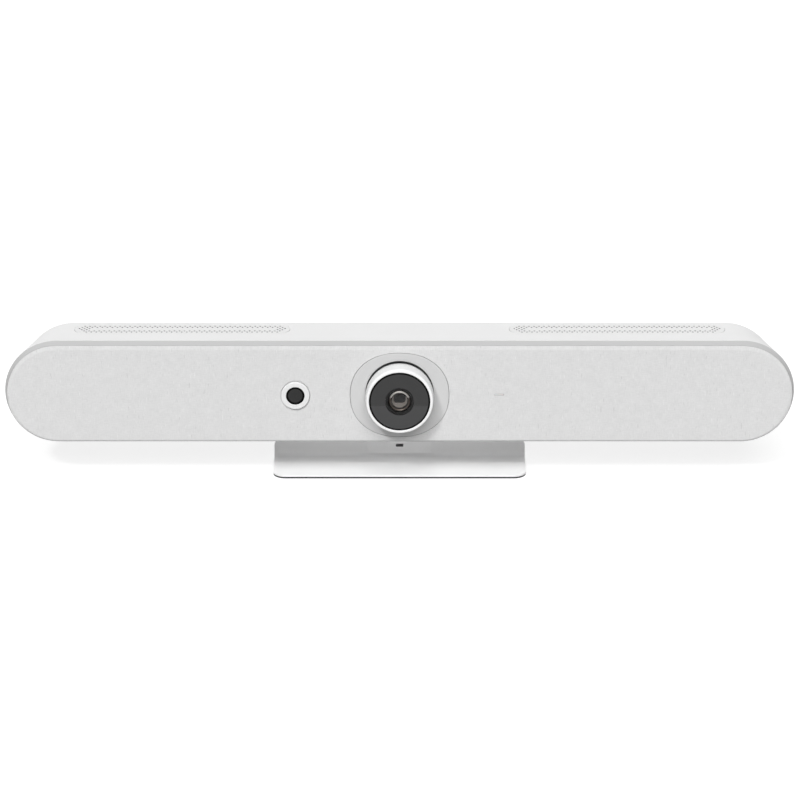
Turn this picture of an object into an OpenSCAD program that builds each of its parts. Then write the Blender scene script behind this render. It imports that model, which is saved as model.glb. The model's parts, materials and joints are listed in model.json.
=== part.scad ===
// Video bar for a meeting room: a long housing with a cloth front, speakers
// at both ends, a camera turret that pans and tilts, and a bent metal stand.
// Millimetres. X runs to the right, Y away from the viewer and Z up. The origin
// is on the table, below the middle of the part's bounding box.
// Depths named y are counted from the rim of the housing, positive to the back.

/* [Body] */
// Width across the rim of the housing
body_w = 721; // [700:1:900]
// Height of the rim of the housing
body_h = 97; // [94:1:110]
// Housing height that the turret's and speakers' own sizes are drawn for
plan_h = 97; // [90:1:110]
// Depth of the housing behind its rim
shell_d = 62; // [61:1:76]
// How far each end draws in by the back
end_draw = 13; // [0:1:20]
// How far the top and the bottom draw in by the back
top_draw = 0.5; // [0:0.1:1.5]
// Radius of the edge round the back
back_r = 12; // [6:1:14]
// Thickness of the housing's wall
wall = 2.6; // [2:0.1:3.2]

/* [Front] */
// Depth from the rim to the face of the cloth
front_d = 9; // [8:0.5:12]
// How far the front frame draws in towards the cloth
front_draw = 1.8; // [0.5:0.1:3]
// Radius of the cloth's turned edge
cloth_r = 2.5; // [2:0.1:3.5]
// Thickness of the cloth
cloth_t = 1; // [0.6:0.1:1.4]
// Thickness of the front frame's wall
frame_t = 2.5; // [2:0.1:3]
// Thickness of the front frame's skirt
skirt_t = 3; // [2:0.1:4]
// Depth of the lip that the front frame puts into the housing
lip_d = 3; // [2:0.5:5]
// Radius of the holes in the panel before each speaker
panel_hole_r = 2; // [1:0.1:2.4]
// Distance between those holes
panel_hole_pitch = 7; // [6:0.5:10]

/* [Oval trim] */
// Width of the oval trim plate round the turret, as a share of the housing's height
oval_wide_share = 0.9361; // [0.887:0.001:1.01]
// Height of the oval trim plate, as a share of the housing's height
oval_high_share = 0.8412; // [0.825:0.001:0.866]
// How far the plate's edge sits behind the face of the cloth
oval_set = 0.1; // [0:0.05:0.5]
// Depth of the shallow dish from the plate's edge to its hole
dish_d = 1.2; // [0.6:0.1:1.6]
// Plain rim between the dish and the plate's edge
dish_rim = 1; // [0.5:0.1:2]
// Thickness of the collar behind the plate
collar_t = 5.6; // [4:0.1:6]

/* [Vent grilles] */
// Length of each vent grille, as a share of the housing's width
vent_long_share = 0.2739; // [0.25:0.001:0.284]
// Width of each vent grille
vent_w = 27; // [24:0.5:30]
// Distance of each grille's middle from the middle of the bar, as a share of the housing's width
vent_side_share = 0.2767; // [0.272:0.001:0.291]
// Depth of the grilles' middle behind the rim, as a share of the housing's depth
vent_deep_share = 0.53226; // [0.484:0.001:0.581]
// Rim of plain metal round the grille's seat
vent_rim = 2; // [1.5:0.1:3]
// Thickness of the grille's flange
vent_flange_t = 1.2; // [1:0.1:1.6]
// Thickness of the whole grille
vent_t = 2.4; // [2:0.1:3]
// Distance between vent holes along a row
vent_pitch = 4.6; // [4:0.1:6]
// Distance between the two lines of a row
vent_line = 3.2; // [3:0.1:4]
// Distance of each row's middle from the grille's middle
vent_row = 6.6; // [6:0.1:7]
// Half diagonal of a diamond hole
vent_hole = 1.3; // [0.8:0.1:1.5]

/* [Turret] */
// Outer radius of the turret's ball
ball_r = 31.8; // [31:0.1:32.4]
// Thickness of the ball's wall
ball_wall = 2; // [1.6:0.1:2.2]
// Distance of the pivot ahead of the hole in the trim
ball_ahead = 11.5; // [11:0.1:13]
// Gap between the ball and the hole
ball_gap = 0.55; // [0.4:0.05:1]
// Half angle of the opening at the ball's back, in degrees
ball_open = 40.5; // [38:0.5:42]
// Distance of the turret's face ahead of the pivot
face_ahead = 11.1; // [10.8:0.1:12]
// Radius of the turret's face
face_r = 30.9; // [30:0.1:31.4]
// Size of the bevel round the face
face_bevel = 0.8; // [0.3:0.1:1.2]
// Radius of the dark glass
glass_r = 27.75; // [26:0.05:28.5]
// Thickness of the dark glass
glass_t = 1.2; // [1:0.1:1.3]
// How far the glass sits behind the face
glass_set = 0.1; // [0:0.05:0.3]
// Thickness of the disc that carries the lens
carrier_t = 1; // [0.8:0.1:1.1]
// Thickness of the ledge that the disc sits on
ledge_t = 0.8; // [0.6:0.1:1]
// Width of that ledge
ledge_w = 1.25; // [0.8:0.05:1.5]

/* [Lens] */
// Radius of the front lens
lens_r = 10.7; // [9:0.1:11]
// Radius of the dark ring round the front lens
lens_ring_r = 13.2; // [12:0.1:13.4]
// Radius of curvature of the front lens
lens_dome = 58; // [50:1:90]
// Thickness of the front lens at its middle
lens_t = 1.8; // [1.6:0.1:1.9]
// Radius of the flange at the front of the barrel
flange_r = 14.2; // [13.8:0.1:14.3]
// Thickness of that flange
flange_t = 1.6; // [1.4:0.1:1.7]
// Depth of the front lens's seat in the flange
lens_seat = 1; // [0.8:0.1:1.1]
// Radius of the lens barrel
barrel_r = 9; // [8.6:0.1:9.2]
// Radius of the bore of the barrel
bore_r = 7.2; // [7:0.1:7.4]
// Distance of the barrel's end behind the pivot
barrel_end = 7; // [6.8:0.1:7.4]
// Length of the moving zoom cell
zoom_l = 4; // [3:0.1:4.4]
// Radius of the lens in the zoom cell
zoom_lens_r = 5.2; // [4.5:0.1:5.6]
// Thickness of the lens in the zoom cell
zoom_lens_t = 2; // [1.5:0.1:2.5]
// Distance of the zoom cell's end behind the pivot
zoom_end = 5; // [4.8:0.1:5.4]
// Side of the square sensor board
sensor_side = 20; // [16:0.5:21]
// Width of the image sensor
sensor_w = 9; // [7:0.5:10]
// Height of the image sensor
sensor_h = 7; // [5:0.5:8]
// Thickness of the image sensor
sensor_t = 0.8; // [0.6:0.1:1]

/* [Gimbal] */
// Inner radius of the gimbal ring
ring_in = 11.2; // [11:0.1:11.6]
// Outer radius of the gimbal ring
ring_out = 13.7; // [13.4:0.1:14]
// Half of the ring's thickness
ring_half = 2.5; // [2:0.1:2.7]
// Distance of the bosses' flats from the pivot
ring_flat = 15; // [14.6:0.1:15.2]
// Radius of the bosses on the ring
ring_boss_r = 3; // [2.6:0.1:3.1]
// Radius of the pivot pins
pin_r = 1; // [0.8:0.05:1.2]
// Radius of the bushes round the pins
bush_r = 2; // [1.6:0.1:2.2]
// Distance of each bush's inner end from the pivot
bush_in = 12; // [11.8:0.1:12.2]
// Distance of each pin's inner end from the pivot
pin_in = 12.3; // [12.2:0.1:12.6]
// Distance of each tilt pin's outer end from the pivot
tilt_pin_out = 22; // [21:0.5:24]
// Radius of the pan motor
pan_motor_r = 2.9; // [2.4:0.1:3]
// Radius of the tilt motor
tilt_motor_r = 5; // [4:0.1:5.5]
// Thickness of each motor's rotor
rotor_t = 1.2; // [1:0.1:1.4]
// Thickness of each motor's stator
stator_t = 2.5; // [2:0.1:2.6]
// Gap between rotor and stator
motor_gap = 0.3; // [0.2:0.05:0.4]
// Thickness of the fork's arms and back
fork_t = 2; // [1.8:0.1:2.2]
// Half of the fork's width
fork_half = 3.5; // [3:0.1:3.6]
// Distance of the fork's back behind the pivot
fork_back = 16.5; // [16:0.1:17]
// Radius of the boss inside the upper arm
fork_boss_r = 2.6; // [2.2:0.1:3]
// Radius of the post that carries the fork
post_r = 5; // [4:0.1:5.2]
// Radius of the wire passage in the post
post_bore_r = 2.2; // [1.5:0.1:2.4]
// Radius of the flange at the foot of the post
post_flange_r = 13; // [12:0.5:15]
// Thickness of that flange
post_flange_t = 3; // [2:0.1:4]
// Radius of the circle of its screws
post_screw_pcr = 9.5; // [8.8:0.1:10]
// Radius of the tilt bosses inside the ball
tilt_boss_r = 4; // [3.4:0.1:4.4]

/* [Second camera] */
// Distance of the second camera left of the middle, as a share of the housing's width
eye_side_share = 0.1327; // [0.125:0.001:0.153]
// Distance of the second camera and the light below the middle
eye_drop = 0.9; // [0:0.1:3]
// Outer radius of its white ring
eye_ring_r = 13; // [12:0.1:15]
// How far the ring stands out of the cloth
eye_proud = 2; // [1:0.1:3]
// Radius of its dark window
eye_r = 8.4; // [7.5:0.1:9]
// Thickness of its window
eye_window_t = 1.2; // [1:0.1:1.6]
// How far the window sits behind the ring's face
eye_set = 0.4; // [0.2:0.1:1]
// Depth of its module behind the rim
eye_module_y = 6; // [4:0.5:10]
// Side of its square board
eye_board = 24; // [20:0.5:26]

/* [Status light] */
// Distance of the light right of the middle, as a share of the housing's width
light_side_share = 0.1259; // [0.118:0.001:0.146]
// Length of the light's slit
light_l = 8.5; // [6:0.1:12]
// Height of the slit
light_h = 1.2; // [0.8:0.1:2]
// Length of the light's board
light_board_l = 18; // [14:0.5:24]
// Height of the light's board
light_board_h = 10; // [8:0.5:14]
// Distance of that board behind the frame's wall
light_board_off = 2; // [1:0.1:4]

/* [Microphones] */
// Distance of each microphone strip's middle from the middle of the bar, as a share of the housing's width
mic_side_share = 0.215; // [0.205:0.001:0.229]
// Height of the strips above the middle, as a share of the housing's height
mic_high_share = 0.3093; // [0.268:0.001:0.32]
// Length of each strip
mic_strip_l = 80; // [60:1:90]
// Height of each strip
mic_strip_h = 8; // [6:0.5:10]
// Distance between microphones
mic_pitch = 30; // [20:1:34]
// Radius of a microphone can
mic_r = 2; // [1.5:0.1:3]
// Thickness of a microphone can
mic_t = 1.2; // [1:0.1:2]
// Radius of a sound hole
mic_hole_r = 0.8; // [0.5:0.1:1.2]

/* [Speakers] */
// Distance of each speaker's axis from the middle of the bar, as a share of the housing's width
speaker_side_share = 0.3634; // [0.358:0.001:0.372]
// Radius of the basket's flange
basket_r = 34; // [33:0.5:36]
// Thickness of the basket's flange
basket_flange_t = 2.5; // [2:0.1:3]
// Depth of the basket from its flange to its back
basket_d = 15.5; // [14:0.5:18]
// Radius of the basket's back
basket_back_r = 20; // [18:0.5:22]
// Wall of the basket
basket_wall = 1.5; // [1.2:0.1:2]
// Radius of the cone's edge
cone_r = 24; // [22:0.5:24]
// Depth of the cone's edge behind the front frame's wall
cone_set = 2; // [1.8:0.1:2.4]
// Depth of the cone
cone_d = 11; // [9:0.5:11.5]
// Thickness of the cone
cone_t = 0.7; // [0.5:0.1:1]
// Outer radius of the voice coil
coil_r = 10.1; // [9:0.1:11]
// Thickness of the voice coil's tube
coil_t = 0.6; // [0.5:0.1:0.8]
// Length of the voice coil's tube
coil_l = 8; // [7:0.5:9]
// Outer radius of the rolled surround
surround_r = 29; // [28.6:0.1:29.2]
// Radius of the surround's roll
roll_r = 2.2; // [1.8:0.1:2.3]
// Thickness of the surround
surround_t = 0.6; // [0.4:0.1:0.8]
// Radius of the magnet
magnet_r = 18; // [16:0.5:19]
// Depth of the magnet
magnet_d = 17; // [14:0.5:18]
// Depth of the gap in the magnet
magnet_gap_d = 11; // [10.5:0.5:12]
// Clearance of the voice coil in that gap
coil_gap = 0.4; // [0.3:0.05:0.6]
// Half length of a speaker box
box_half = 44; // [43:0.5:46]
// Room between a speaker box and the screw lugs
box_clear = 0.9; // [0.6:0.1:2]
// Wall of a speaker box
box_wall = 2; // [1.6:0.1:3]
// Depth of the back of a speaker box, as a share of the housing's depth
box_deep_share = 0.80645; // [0.71:0.001:0.839]
// Distance of the posts behind a box from its axis, sideways
box_post_x = 34; // [30:0.5:38]
// Distance of those posts from its axis, up and down, as a share of the housing's height
box_post_share = 0.2784; // [0.206:0.001:0.309]

/* [Chassis] */
// Half length of the chassis plate, as a share of the housing's width
chassis_half_share = 0.2635; // [0.258:0.001:0.277]
// Room between the chassis and the stand's insert bosses
chassis_clear = 1.9; // [1:0.1:3]
// Depth of the front of the chassis plate, as a share of the housing's depth
chassis_deep_share = 0.3871; // [0.371:0.001:0.419]
// Thickness of the chassis plate
chassis_t = 2; // [1.5:0.1:2.5]
// Height of the bosses that carry the boards
standoff = 5; // [4:0.5:6]
// Radius of those bosses
standoff_r = 3; // [2.6:0.1:3.4]
// Radius of the posts inside the housing
shell_post_r = 4; // [3.6:0.1:4.6]
// Distance of the outer posts from the middle, as a share of the housing's width
post_far_share = 0.2497; // [0.247:0.001:0.255]
// Distance of the inner posts from the middle, as a share of the housing's width
post_near_share = 0.1456; // [0.143:0.001:0.148]
// Height of the posts above and below the middle, as a share of the housing's height
post_high_share = 0.3093; // [0.299:0.001:0.32]

/* [Boards] */
// Thickness of every circuit board
board_t = 1.6; // [1.2:0.1:2]
// Half length of the main board, as a share of the housing's width
main_half_share = 0.1331; // [0.13:0.001:0.136]
// Half height of the main board, as a share of the housing's height
main_high_share = 0.3505; // [0.34:0.001:0.371]
// Distance of the main board's screws from the middle, as a share of the housing's width
main_screw_side_share = 0.1262; // [0.125:0.001:0.128]
// Height of the main board's screws, as a share of the housing's height
main_screw_high_share = 0.3196; // [0.309:0.001:0.33]
// Distance of each side board's middle from the middle of the bar, as a share of the housing's width
side_board_share = 0.1969; // [0.196:0.001:0.2]
// Half length of a side board
side_half = 30; // [26:0.5:31]
// Half height of a side board, as a share of the housing's height
side_high_share = 0.2577; // [0.206:0.001:0.268]
// Distance of a side board's screws from its edges
side_screw_in = 4.5; // [4:0.1:6]
// Height of a processor chip
chip_t = 1.4; // [1:0.1:2]
// Side of a processor chip
chip_w = 16; // [12:0.5:18]
// Distance between the processor chips, as a share of the housing's width
chip_pitch_share = 0.0472; // [0.033:0.001:0.05]
// Radius of the amplifier's capacitors
cap_r = 4; // [3:0.1:5]
// Height of the capacitors
cap_l = 11; // [8:0.5:14]
// Distance between the capacitors
cap_pitch = 14; // [11:0.5:16]
// Side of the radio module's screening can
can_w = 22; // [16:0.5:26]
// Thickness of the screening can
can_t = 3; // [2:0.1:4]

/* [Cooling] */
// Left end of the heat sink, as a share of the housing's width
sink_left_share = -0.0832; // [-0.089:0.001:-0.069]
// Right end of the heat sink, as a share of the housing's width
sink_right_share = 0.0749; // [0.061:0.001:0.078]
// Underside of the heat sink, as a share of the housing's height
sink_low_share = -0.0309; // [-0.041:0.001:0.021]
// Top of the heat sink, as a share of the housing's height
sink_high_share = 0.3505; // [0.309:0.001:0.361]
// Thickness of the heat sink's base
sink_base = 3; // [2:0.1:4]
// Room behind the heat sink's fins
fin_clear = 4.4; // [3:0.1:8]
// Thickness of a fin
fin_t = 1.4; // [1:0.1:1.8]
// Number of fins
fin_n = 17; // [10:1:20]
// Side of the blower's square housing
fan_w = 30; // [28:0.5:31]
// Thickness of the blower
fan_t = 10; // [9:0.5:12]
// Wall of the blower's housing
fan_wall = 1.2; // [1:0.1:1.5]
// Middle of the blower to the right, as a share of the housing's width
fan_side_share = 0.1054; // [0.104:0.001:0.108]
// Middle of the blower above the middle of the bar, as a share of the housing's height
fan_high_share = 0.1237; // [0.103:0.001:0.134]
// Radius of the blower's inlet
fan_inlet_r = 10; // [8:0.5:11]
// Radius of the rotor
fan_r = 12.4; // [11:0.1:12.8]
// Radius of the rotor's hub
hub_r = 5; // [4.4:0.1:5.5]
// Number of blades
blade_n = 11; // [7:1:13]
// Thickness of a blade
blade_t = 0.9; // [0.6:0.1:1.2]
// Radius of the rotor's shaft
shaft_r = 1; // [0.8:0.05:1.2]
// Radius of the bearing tube
bearing_r = 2.6; // [2.2:0.1:3]

/* [Socket bay] */
// Half length of the socket bay in the back, as a share of the housing's width
bay_half_share = 0.0999; // [0.097:0.001:0.101]
// Underside of the bay, as a share of the housing's height
bay_low_share = -0.3505; // [-0.361:0.001:-0.34]
// Top of the bay, as a share of the housing's height
bay_top_share = -0.0928; // [-0.103:0.001:-0.082]
// Depth of the bay from the back, as a share of the housing's depth
bay_deep_share = 0.22581; // [0.194:0.001:0.242]
// Rim of the bay's floor round its window
bay_rim = 3; // [2:0.5:4]
// Height of the middle of every socket, as a share of the housing's height
socket_high_share = -0.2216; // [-0.227:0.001:-0.216]
// Thickness of the socket panel
panel_t = 1.5; // [1:0.1:2]
// How far the sockets reach past the panel
socket_proud = 0.5; // [0.2:0.1:1]
// Floor of a socket, behind the board
socket_floor_t = 3.3; // [1:0.1:4]
// Wall of a socket's shell
socket_wall = 0.6; // [0.4:0.1:0.8]
// Width of a video socket
video_w = 15; // [14:0.5:16]
// Height of a video socket
video_h = 5.8; // [5:0.1:7]
// Width of a data socket
data_w = 13.2; // [12:0.1:14]
// Height of a data socket
data_h = 5.8; // [5:0.1:7]
// Width of the network socket
net_w = 16; // [15:0.5:17]
// Height of the network socket
net_h = 13.5; // [12:0.5:15]
// Radius of the power socket
power_r = 5.5; // [5:0.1:6.5]
// Radius of the power socket's bore
power_bore_r = 3.2; // [2.7:0.1:3.6]
// Radius of the pin in that bore
power_pin_r = 1.2; // [0.8:0.1:1.4]

/* [Power button] */
// Distance of the button right of the middle, as a share of the housing's width
button_side_share = 0.1248; // [0.122:0.001:0.128]
// Radius of the button
button_r = 4; // [3.5:0.1:4.2]
// Travel of the button
button_travel = 0.8; // [0.5:0.1:1]
// Length of the button's cap in the wall
button_l = 4.6; // [4:0.1:5]
// Height of the button's collar
button_collar_t = 1; // [0.8:0.1:1.4]
// Radius of the button's collar
button_collar_r = 5.2; // [5:0.1:5.4]
// Outer radius of the sleeve that guides the button
sleeve_r = 7; // [6.8:0.1:7.5]
// Length of that sleeve inside the wall
sleeve_l = 9; // [8:0.5:10]
// Radius of the switch under the button
switch_r = 2; // [1.5:0.1:3]

/* [Wall fixing] */
// Distance between the wall inserts across
wall_dx = 240; // [236:1:246]
// Distance between the wall inserts in height
wall_dz = 50; // [48:1:52]
// Radius of the thread in every insert
insert_bore_r = 1.65; // [1.65:0.05:2]
// Outer radius of every insert
insert_r = 3.2; // [3:0.1:3.4]
// Length of every insert
insert_l = 8; // [6:0.5:8]
// Radius of the bosses round the inserts
insert_boss_r = 5.5; // [5:0.1:5.8]

/* [Stand] */
// Height of the body's middle above the table
body_z = 84; // [80:0.5:100]
// Width of the stand's plate
stand_w = 233; // [200:1:260]
// Depth of the front edge of the plate, ahead of the rim
stand_front = 5.5; // [0:0.5:12]
// Depth of the face of the upright strip behind the rim, as a share of the housing's depth
stand_deep_share = 0.75806; // [0.726:0.001:0.806]
// Thickness of the stand's metal
stand_t = 2.2; // [1.8:0.1:3]
// Thickness of the rubber feet
foot_t = 1; // [0.8:0.1:1.6]
// Height of the upright strip above the plate
strip_h = 15.5; // [14:0.5:18]
// Inner radius of the bend
bend_r = 3; // [2:0.1:3.2]
// Radius of the plate's front corners
stand_corner = 12; // [6:0.5:16]
// Radius of the strip's upper corners
strip_corner = 5.5; // [3:0.5:8]
// Width of the neck
neck_w = 60; // [50:1:80]
// Thickness of the neck
neck_t = 3; // [2.5:0.1:3.5]
// Depth of the neck's flange under the housing
neck_flange_d = 31; // [28:0.5:33]
// Width of the lock slot in the neck
slot_w = 7; // [6:0.5:8]
// Height of the lock slot
slot_h = 3; // [2.5:0.1:3.5]
// Height of the lock slot above the plate
slot_z = 11.1; // [10:0.1:12]
// Distance of the stand's screws from the middle
stand_screw_x = 20; // [18:0.5:22]
// Depth of the first pair of stand screws, as a share of the housing's depth
screw_front_share = 0.35484; // [0.339:0.001:0.387]
// Depth of the second pair of stand screws, as a share of the housing's depth
screw_back_share = 0.58065; // [0.548:0.001:0.613]
// Height of the neck's screws above the plate
neck_screw_z = 9; // [8:0.5:10]
// Radius of a rubber foot's round ends
foot_r = 7; // [5:0.5:8]
// Length of a rubber foot
foot_l = 40; // [24:1:48]

/* [Screws and fits] */
// Radius of a large screw
m4_r = 1.6; // [1.5:0.05:1.6]
// Radius of a large screw's head
m4_head_r = 3.4; // [3:0.1:3.8]
// Height of a large screw's head
m4_head_t = 2.4; // [2:0.1:2.6]
// Radius of a medium screw
m3_r = 1.5; // [1.2:0.05:1.6]
// Radius of a medium screw's head
m3_head_r = 2.6; // [2.4:0.1:2.8]
// Height of a medium screw's head
m3_head_t = 1.5; // [1.2:0.1:1.8]
// Radius of a small screw
m2_r = 1; // [0.8:0.05:1.2]
// Radius of a small screw's head
m2_head_r = 1.9; // [1.6:0.1:2]
// Height of a small screw's head
m2_head_t = 1.2; // [1:0.1:1.3]
// Clearance of a shaft that turns in its hole
run_gap = 0.03; // [0.02:0.01:0.05]
// Clearance of a part that slides in its bore
slide_gap = 0.05; // [0.03:0.01:0.08]
// Gap between moving parts that never touch
free_gap = 0.3; // [0.2:0.05:0.4]
// Gap round a piece that is set into another
set_gap = 0.2; // [0.1:0.05:0.3]

/* [Hidden] */
$fn = 64;
over = 1; // overrun of every cut
leaf = 0.01; // thickness of a slice in a hull
fillet_steps = 5; // steps of every hull round an edge
hull_fn = 40; // sides of a circle in a hull
dome_fn = 240; // sides of the lens dome's circle

// Places and sizes that follow the housing's width
vent_l = vent_long_share * body_w;
vent_x = vent_side_share * body_w;
eye_x = eye_side_share * body_w;
light_x = light_side_share * body_w;
mic_x = mic_side_share * body_w;
speaker_x = speaker_side_share * body_w;
chassis_half = chassis_half_share * body_w;
post_far = post_far_share * body_w;
post_near = post_near_share * body_w;
main_half = main_half_share * body_w;
main_screw_x = main_screw_side_share * body_w;
side_x = side_board_share * body_w;
sink_x0 = sink_left_share * body_w;
sink_x1 = sink_right_share * body_w;
chip_pitch = chip_pitch_share * body_w;
fan_x = fan_side_share * body_w;
bay_half = bay_half_share * body_w;
button_x = button_side_share * body_w;
// Places and sizes that follow the housing's depth
vent_y = vent_deep_share * shell_d;
chassis_y = chassis_deep_share * shell_d;
box_back_y = box_deep_share * shell_d;
bay_d = bay_deep_share * shell_d;
stand_back = stand_deep_share * shell_d;
stand_screw_y0 = screw_front_share * shell_d;
stand_screw_y1 = screw_back_share * shell_d;
// Places and sizes that follow the housing's height
oval_w = oval_wide_share * body_h;
oval_h = oval_high_share * body_h;
box_post_z = box_post_share * body_h;
post_z = post_high_share * body_h;
main_half_h = main_high_share * body_h;
main_screw_z = main_screw_high_share * body_h;
side_half_h = side_high_share * body_h;
sink_z0 = sink_low_share * body_h;
sink_z1 = sink_high_share * body_h;
fan_z = fan_high_share * body_h;
bay_z0 = bay_low_share * body_h;
bay_z1 = bay_top_share * body_h;
socket_z = socket_high_share * body_h;
mic_z = mic_high_share * body_h;
screw_z = body_h / 2 - wall - shell_post_r; // height of the frame's screws
box_half_h = screw_z - shell_post_r - box_clear;
chassis_half_h = body_h / 2 - wall - insert_l - chassis_clear;
fit_share = body_h / plan_h; // size of the turret and speakers against how they are drawn

// Depths of the front layers
cloth_y = -front_d;
panel_y = cloth_y + cloth_t;
frame_y0 = cloth_y + cloth_r;
frame_y1 = frame_y0 + frame_t;
cloth_w = body_w - 2 * front_draw;
cloth_h = body_h - 2 * front_draw;
flat_y = shell_d - back_r; // where the fillet round the back starts
inner_y = shell_d - wall;
side_fall = end_draw / flat_y; // slope of the housing's ends
top_fall = top_draw / flat_y; // slope of the housing's top

// Turret, counted forwards from the pivot
trim_y0 = cloth_y + oval_set;
hole_y = trim_y0 + dish_d;
hole_r = fit_share * (sqrt(pow(ball_r, 2) - pow(ball_ahead, 2)) + ball_gap);
collar_r = hole_r + fit_share * collar_t;
pivot_y = hole_y - fit_share * ball_ahead;
glass_z1 = face_ahead - glass_set;
glass_z0 = glass_z1 - glass_t;
carrier_z0 = glass_z0 - carrier_t;
ring_z0 = carrier_z0 - ledge_t;
flange_z0 = carrier_z0 - flange_t;
lens_z0 = carrier_z0 - lens_seat;
ball_in = ball_r - ball_wall;
pan_rotor_out = ring_flat + rotor_t;
pan_stator_in = pan_rotor_out + motor_gap;
arm_in = pan_stator_in + stator_t;
arm_out = arm_in + fork_t;
tilt_stator_out = ring_flat + stator_t;
tilt_rotor_in = tilt_stator_out + motor_gap;
tilt_rotor_out = tilt_rotor_in + rotor_t;
post_foot = (chassis_y - pivot_y) / fit_share; // distance from the pivot to the chassis

// Whole part
front_most = pivot_y - fit_share * face_ahead;
frame_y = -(front_most + shell_d) / 2;
frame_screw_shares = [0.166, 0.5, 0.832];

// Electronics
chassis_back = chassis_y + chassis_t;
board_y = chassis_back + standoff;
board_back = board_y + board_t;
sink_y = board_back + chip_t;
fin_l = inner_y - sink_y - sink_base - fin_clear;
bay_floor = shell_d - bay_d;
bay_inner = bay_floor - wall;
socket_y = bay_inner + socket_proud;
socket_d = socket_y - board_back - socket_floor_t; // depth of each socket
button_z = socket_z;
button_face = shell_d - set_gap;
shoulder_y = button_face - button_l + free_gap;
sleeve_y = inner_y - sleeve_l;

// Front frame and housing
lip_in = wall + set_gap + side_fall * lip_d;
lug_y = lip_d + 3 * wall; // back of the lugs for the front frame's screws
frame_boss_r = shell_post_r - set_gap;
light_post_r = lip_d / 2;
m3_l = 4 * wall; // depth of a medium screw in its post
vent_top = body_h / 2 - top_fall * vent_y;
dish_r = oval_h / 2 - dish_rim;
dish_slope = (dish_r - hole_r) / dish_d;
panel_hole_n = ceil(fit_share * cone_r / panel_hole_pitch);
eye_window_y = cloth_y - eye_proud + eye_set;
eye_flange = 1.2 * frame_t; // reach of the second camera's flange past its window

// Speakers, counted back from the frame's wall
mouth_r = surround_r + set_gap;
coil_hole_r = coil_r + 3 * coil_gap;
roll_at = (cone_r + free_gap + surround_r) / 2;
box_y0 = frame_y1 + fit_share * basket_flange_t;

// Cooling and sockets
sink_mid = (sink_x0 + sink_x1) / 2;
bearing_top = 0.56 * fan_t;
rotor_z0 = fan_wall + 2 * free_gap;
rotor_z1 = fan_t - fan_wall - 2 * free_gap;
net_wall = 2 * socket_wall + set_gap;
collar_y1 = shoulder_y - free_gap;
collar_y0 = collar_y1 - button_collar_t;

// Stand, counted up from the table
plate_top = foot_t + stand_t;
strip_top = plate_top + strip_h;
bend_y = stand_back - bend_r;
bend_z = plate_top + bend_r;
seat_z = body_z - body_h / 2;
neck_z0 = bend_z + set_gap;
foot_y0 = -stand_front + stand_corner / 2 + foot_r / 2;
foot_y1 = bend_y - foot_r;

// Frames
module in_body() translate([0, frame_y, body_z]) children();
module in_head()
  translate([0, frame_y + pivot_y, body_z]) rotate([90, 0, 0]) scale(fit_share) children();
module on_table() translate([0, frame_y, 0]) children();

// Shapes that repeat
// Flat shape, drawn as seen from the front, solid between two depths
module slab(y0, y1) translate([0, y1, 0]) rotate([90, 0, 0]) linear_extrude(y1 - y0) children();
// Round bar along the depth
module rod(r, y0, y1, x = 0, z = 0)
  translate([x, y1, z]) rotate([90, 0, 0]) cylinder(r = r, h = y1 - y0);
// Round bar whose radius changes from one depth to the other
module taper(r0, r1, y0, y1, x = 0, z = 0)
  translate([x, y0, z]) rotate([-90, 0, 0]) cylinder(r1 = r0, r2 = r1, h = y1 - y0);
// Block between two places on each axis
module block(x, y, z)
  translate([x[0], y[0], z[0]]) cube([x[1] - x[0], y[1] - y[0], z[1] - z[0]]);
// Washer of a given height
module washer(r_out, r_in, h) difference() {
  cylinder(r = r_out, h = h);
  translate([0, 0, -over]) cylinder(r = r_in, h = h + 2 * over);
}
// Bar with round ends
module stadium(w, h) {
  square([w - h, h], center = true);
  for (s = [-1, 1]) translate([s * (w - h) / 2, 0]) circle(r = h / 2);
}
// Screw that points to the back: its head ends where its seat starts
module screw(r, head_r, head_t, l) {
  rotate([-90, 0, 0]) cylinder(r = r, h = l);
  rotate([90, 0, 0]) cylinder(r = head_r, h = head_t);
}
// Children at four corners, mirrored left to right and top to bottom
module corners(x, z) for (sx = [-1, 1], sz = [-1, 1]) translate([sx * x, 0, sz * z]) children();

// Housing
// One slice of the housing's form
module slice(y, inset, draw) slab(y - leaf, y) stadium(
  body_w - 2 * (inset + draw + side_fall * min(y, flat_y)),
  body_h - 2 * (inset + draw + top_fall * min(y, flat_y)), $fn = hull_fn);
// The housing's form, drawn in by an inset and starting at a depth
module shell_form(y0, inset) hull() {
  slice(y0 + leaf, inset, 0);
  for (i = [0 : fillet_steps]) let (a = 90 * i / fillet_steps, r = back_r - inset)
    slice(flat_y + r * sin(a), inset, r * (1 - cos(a)));
}
module at_frame_screws() for (share = frame_screw_shares, sx = [-1, 1], sz = [0, 1])
  mirror([0, 0, sz]) translate([sx * share * body_w / 2, 0, screw_z]) children();
module at_chassis_posts() for (x = [post_near, post_far]) corners(x, post_z) children();
module at_wall_inserts() corners(wall_dx / 2, wall_dz / 2) children();
module at_stand_screws() for (s = [-1, 1], y = [stand_screw_y0, stand_screw_y1])
  translate([s * stand_screw_x, y, 0]) children();
module vent_seat(s) translate([s * vent_x, vent_y, 0]) {
  translate([0, 0, vent_top - vent_flange_t]) linear_extrude(vent_flange_t + over)
    stadium(vent_l + 2 * set_gap, vent_w + 2 * set_gap);
  translate([0, 0, vent_top - wall - 2 * over]) linear_extrude(wall + 2 * over)
    stadium(vent_l - 2 * vent_rim + 2 * set_gap, vent_w - 2 * vent_rim + 2 * set_gap);
}
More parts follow.
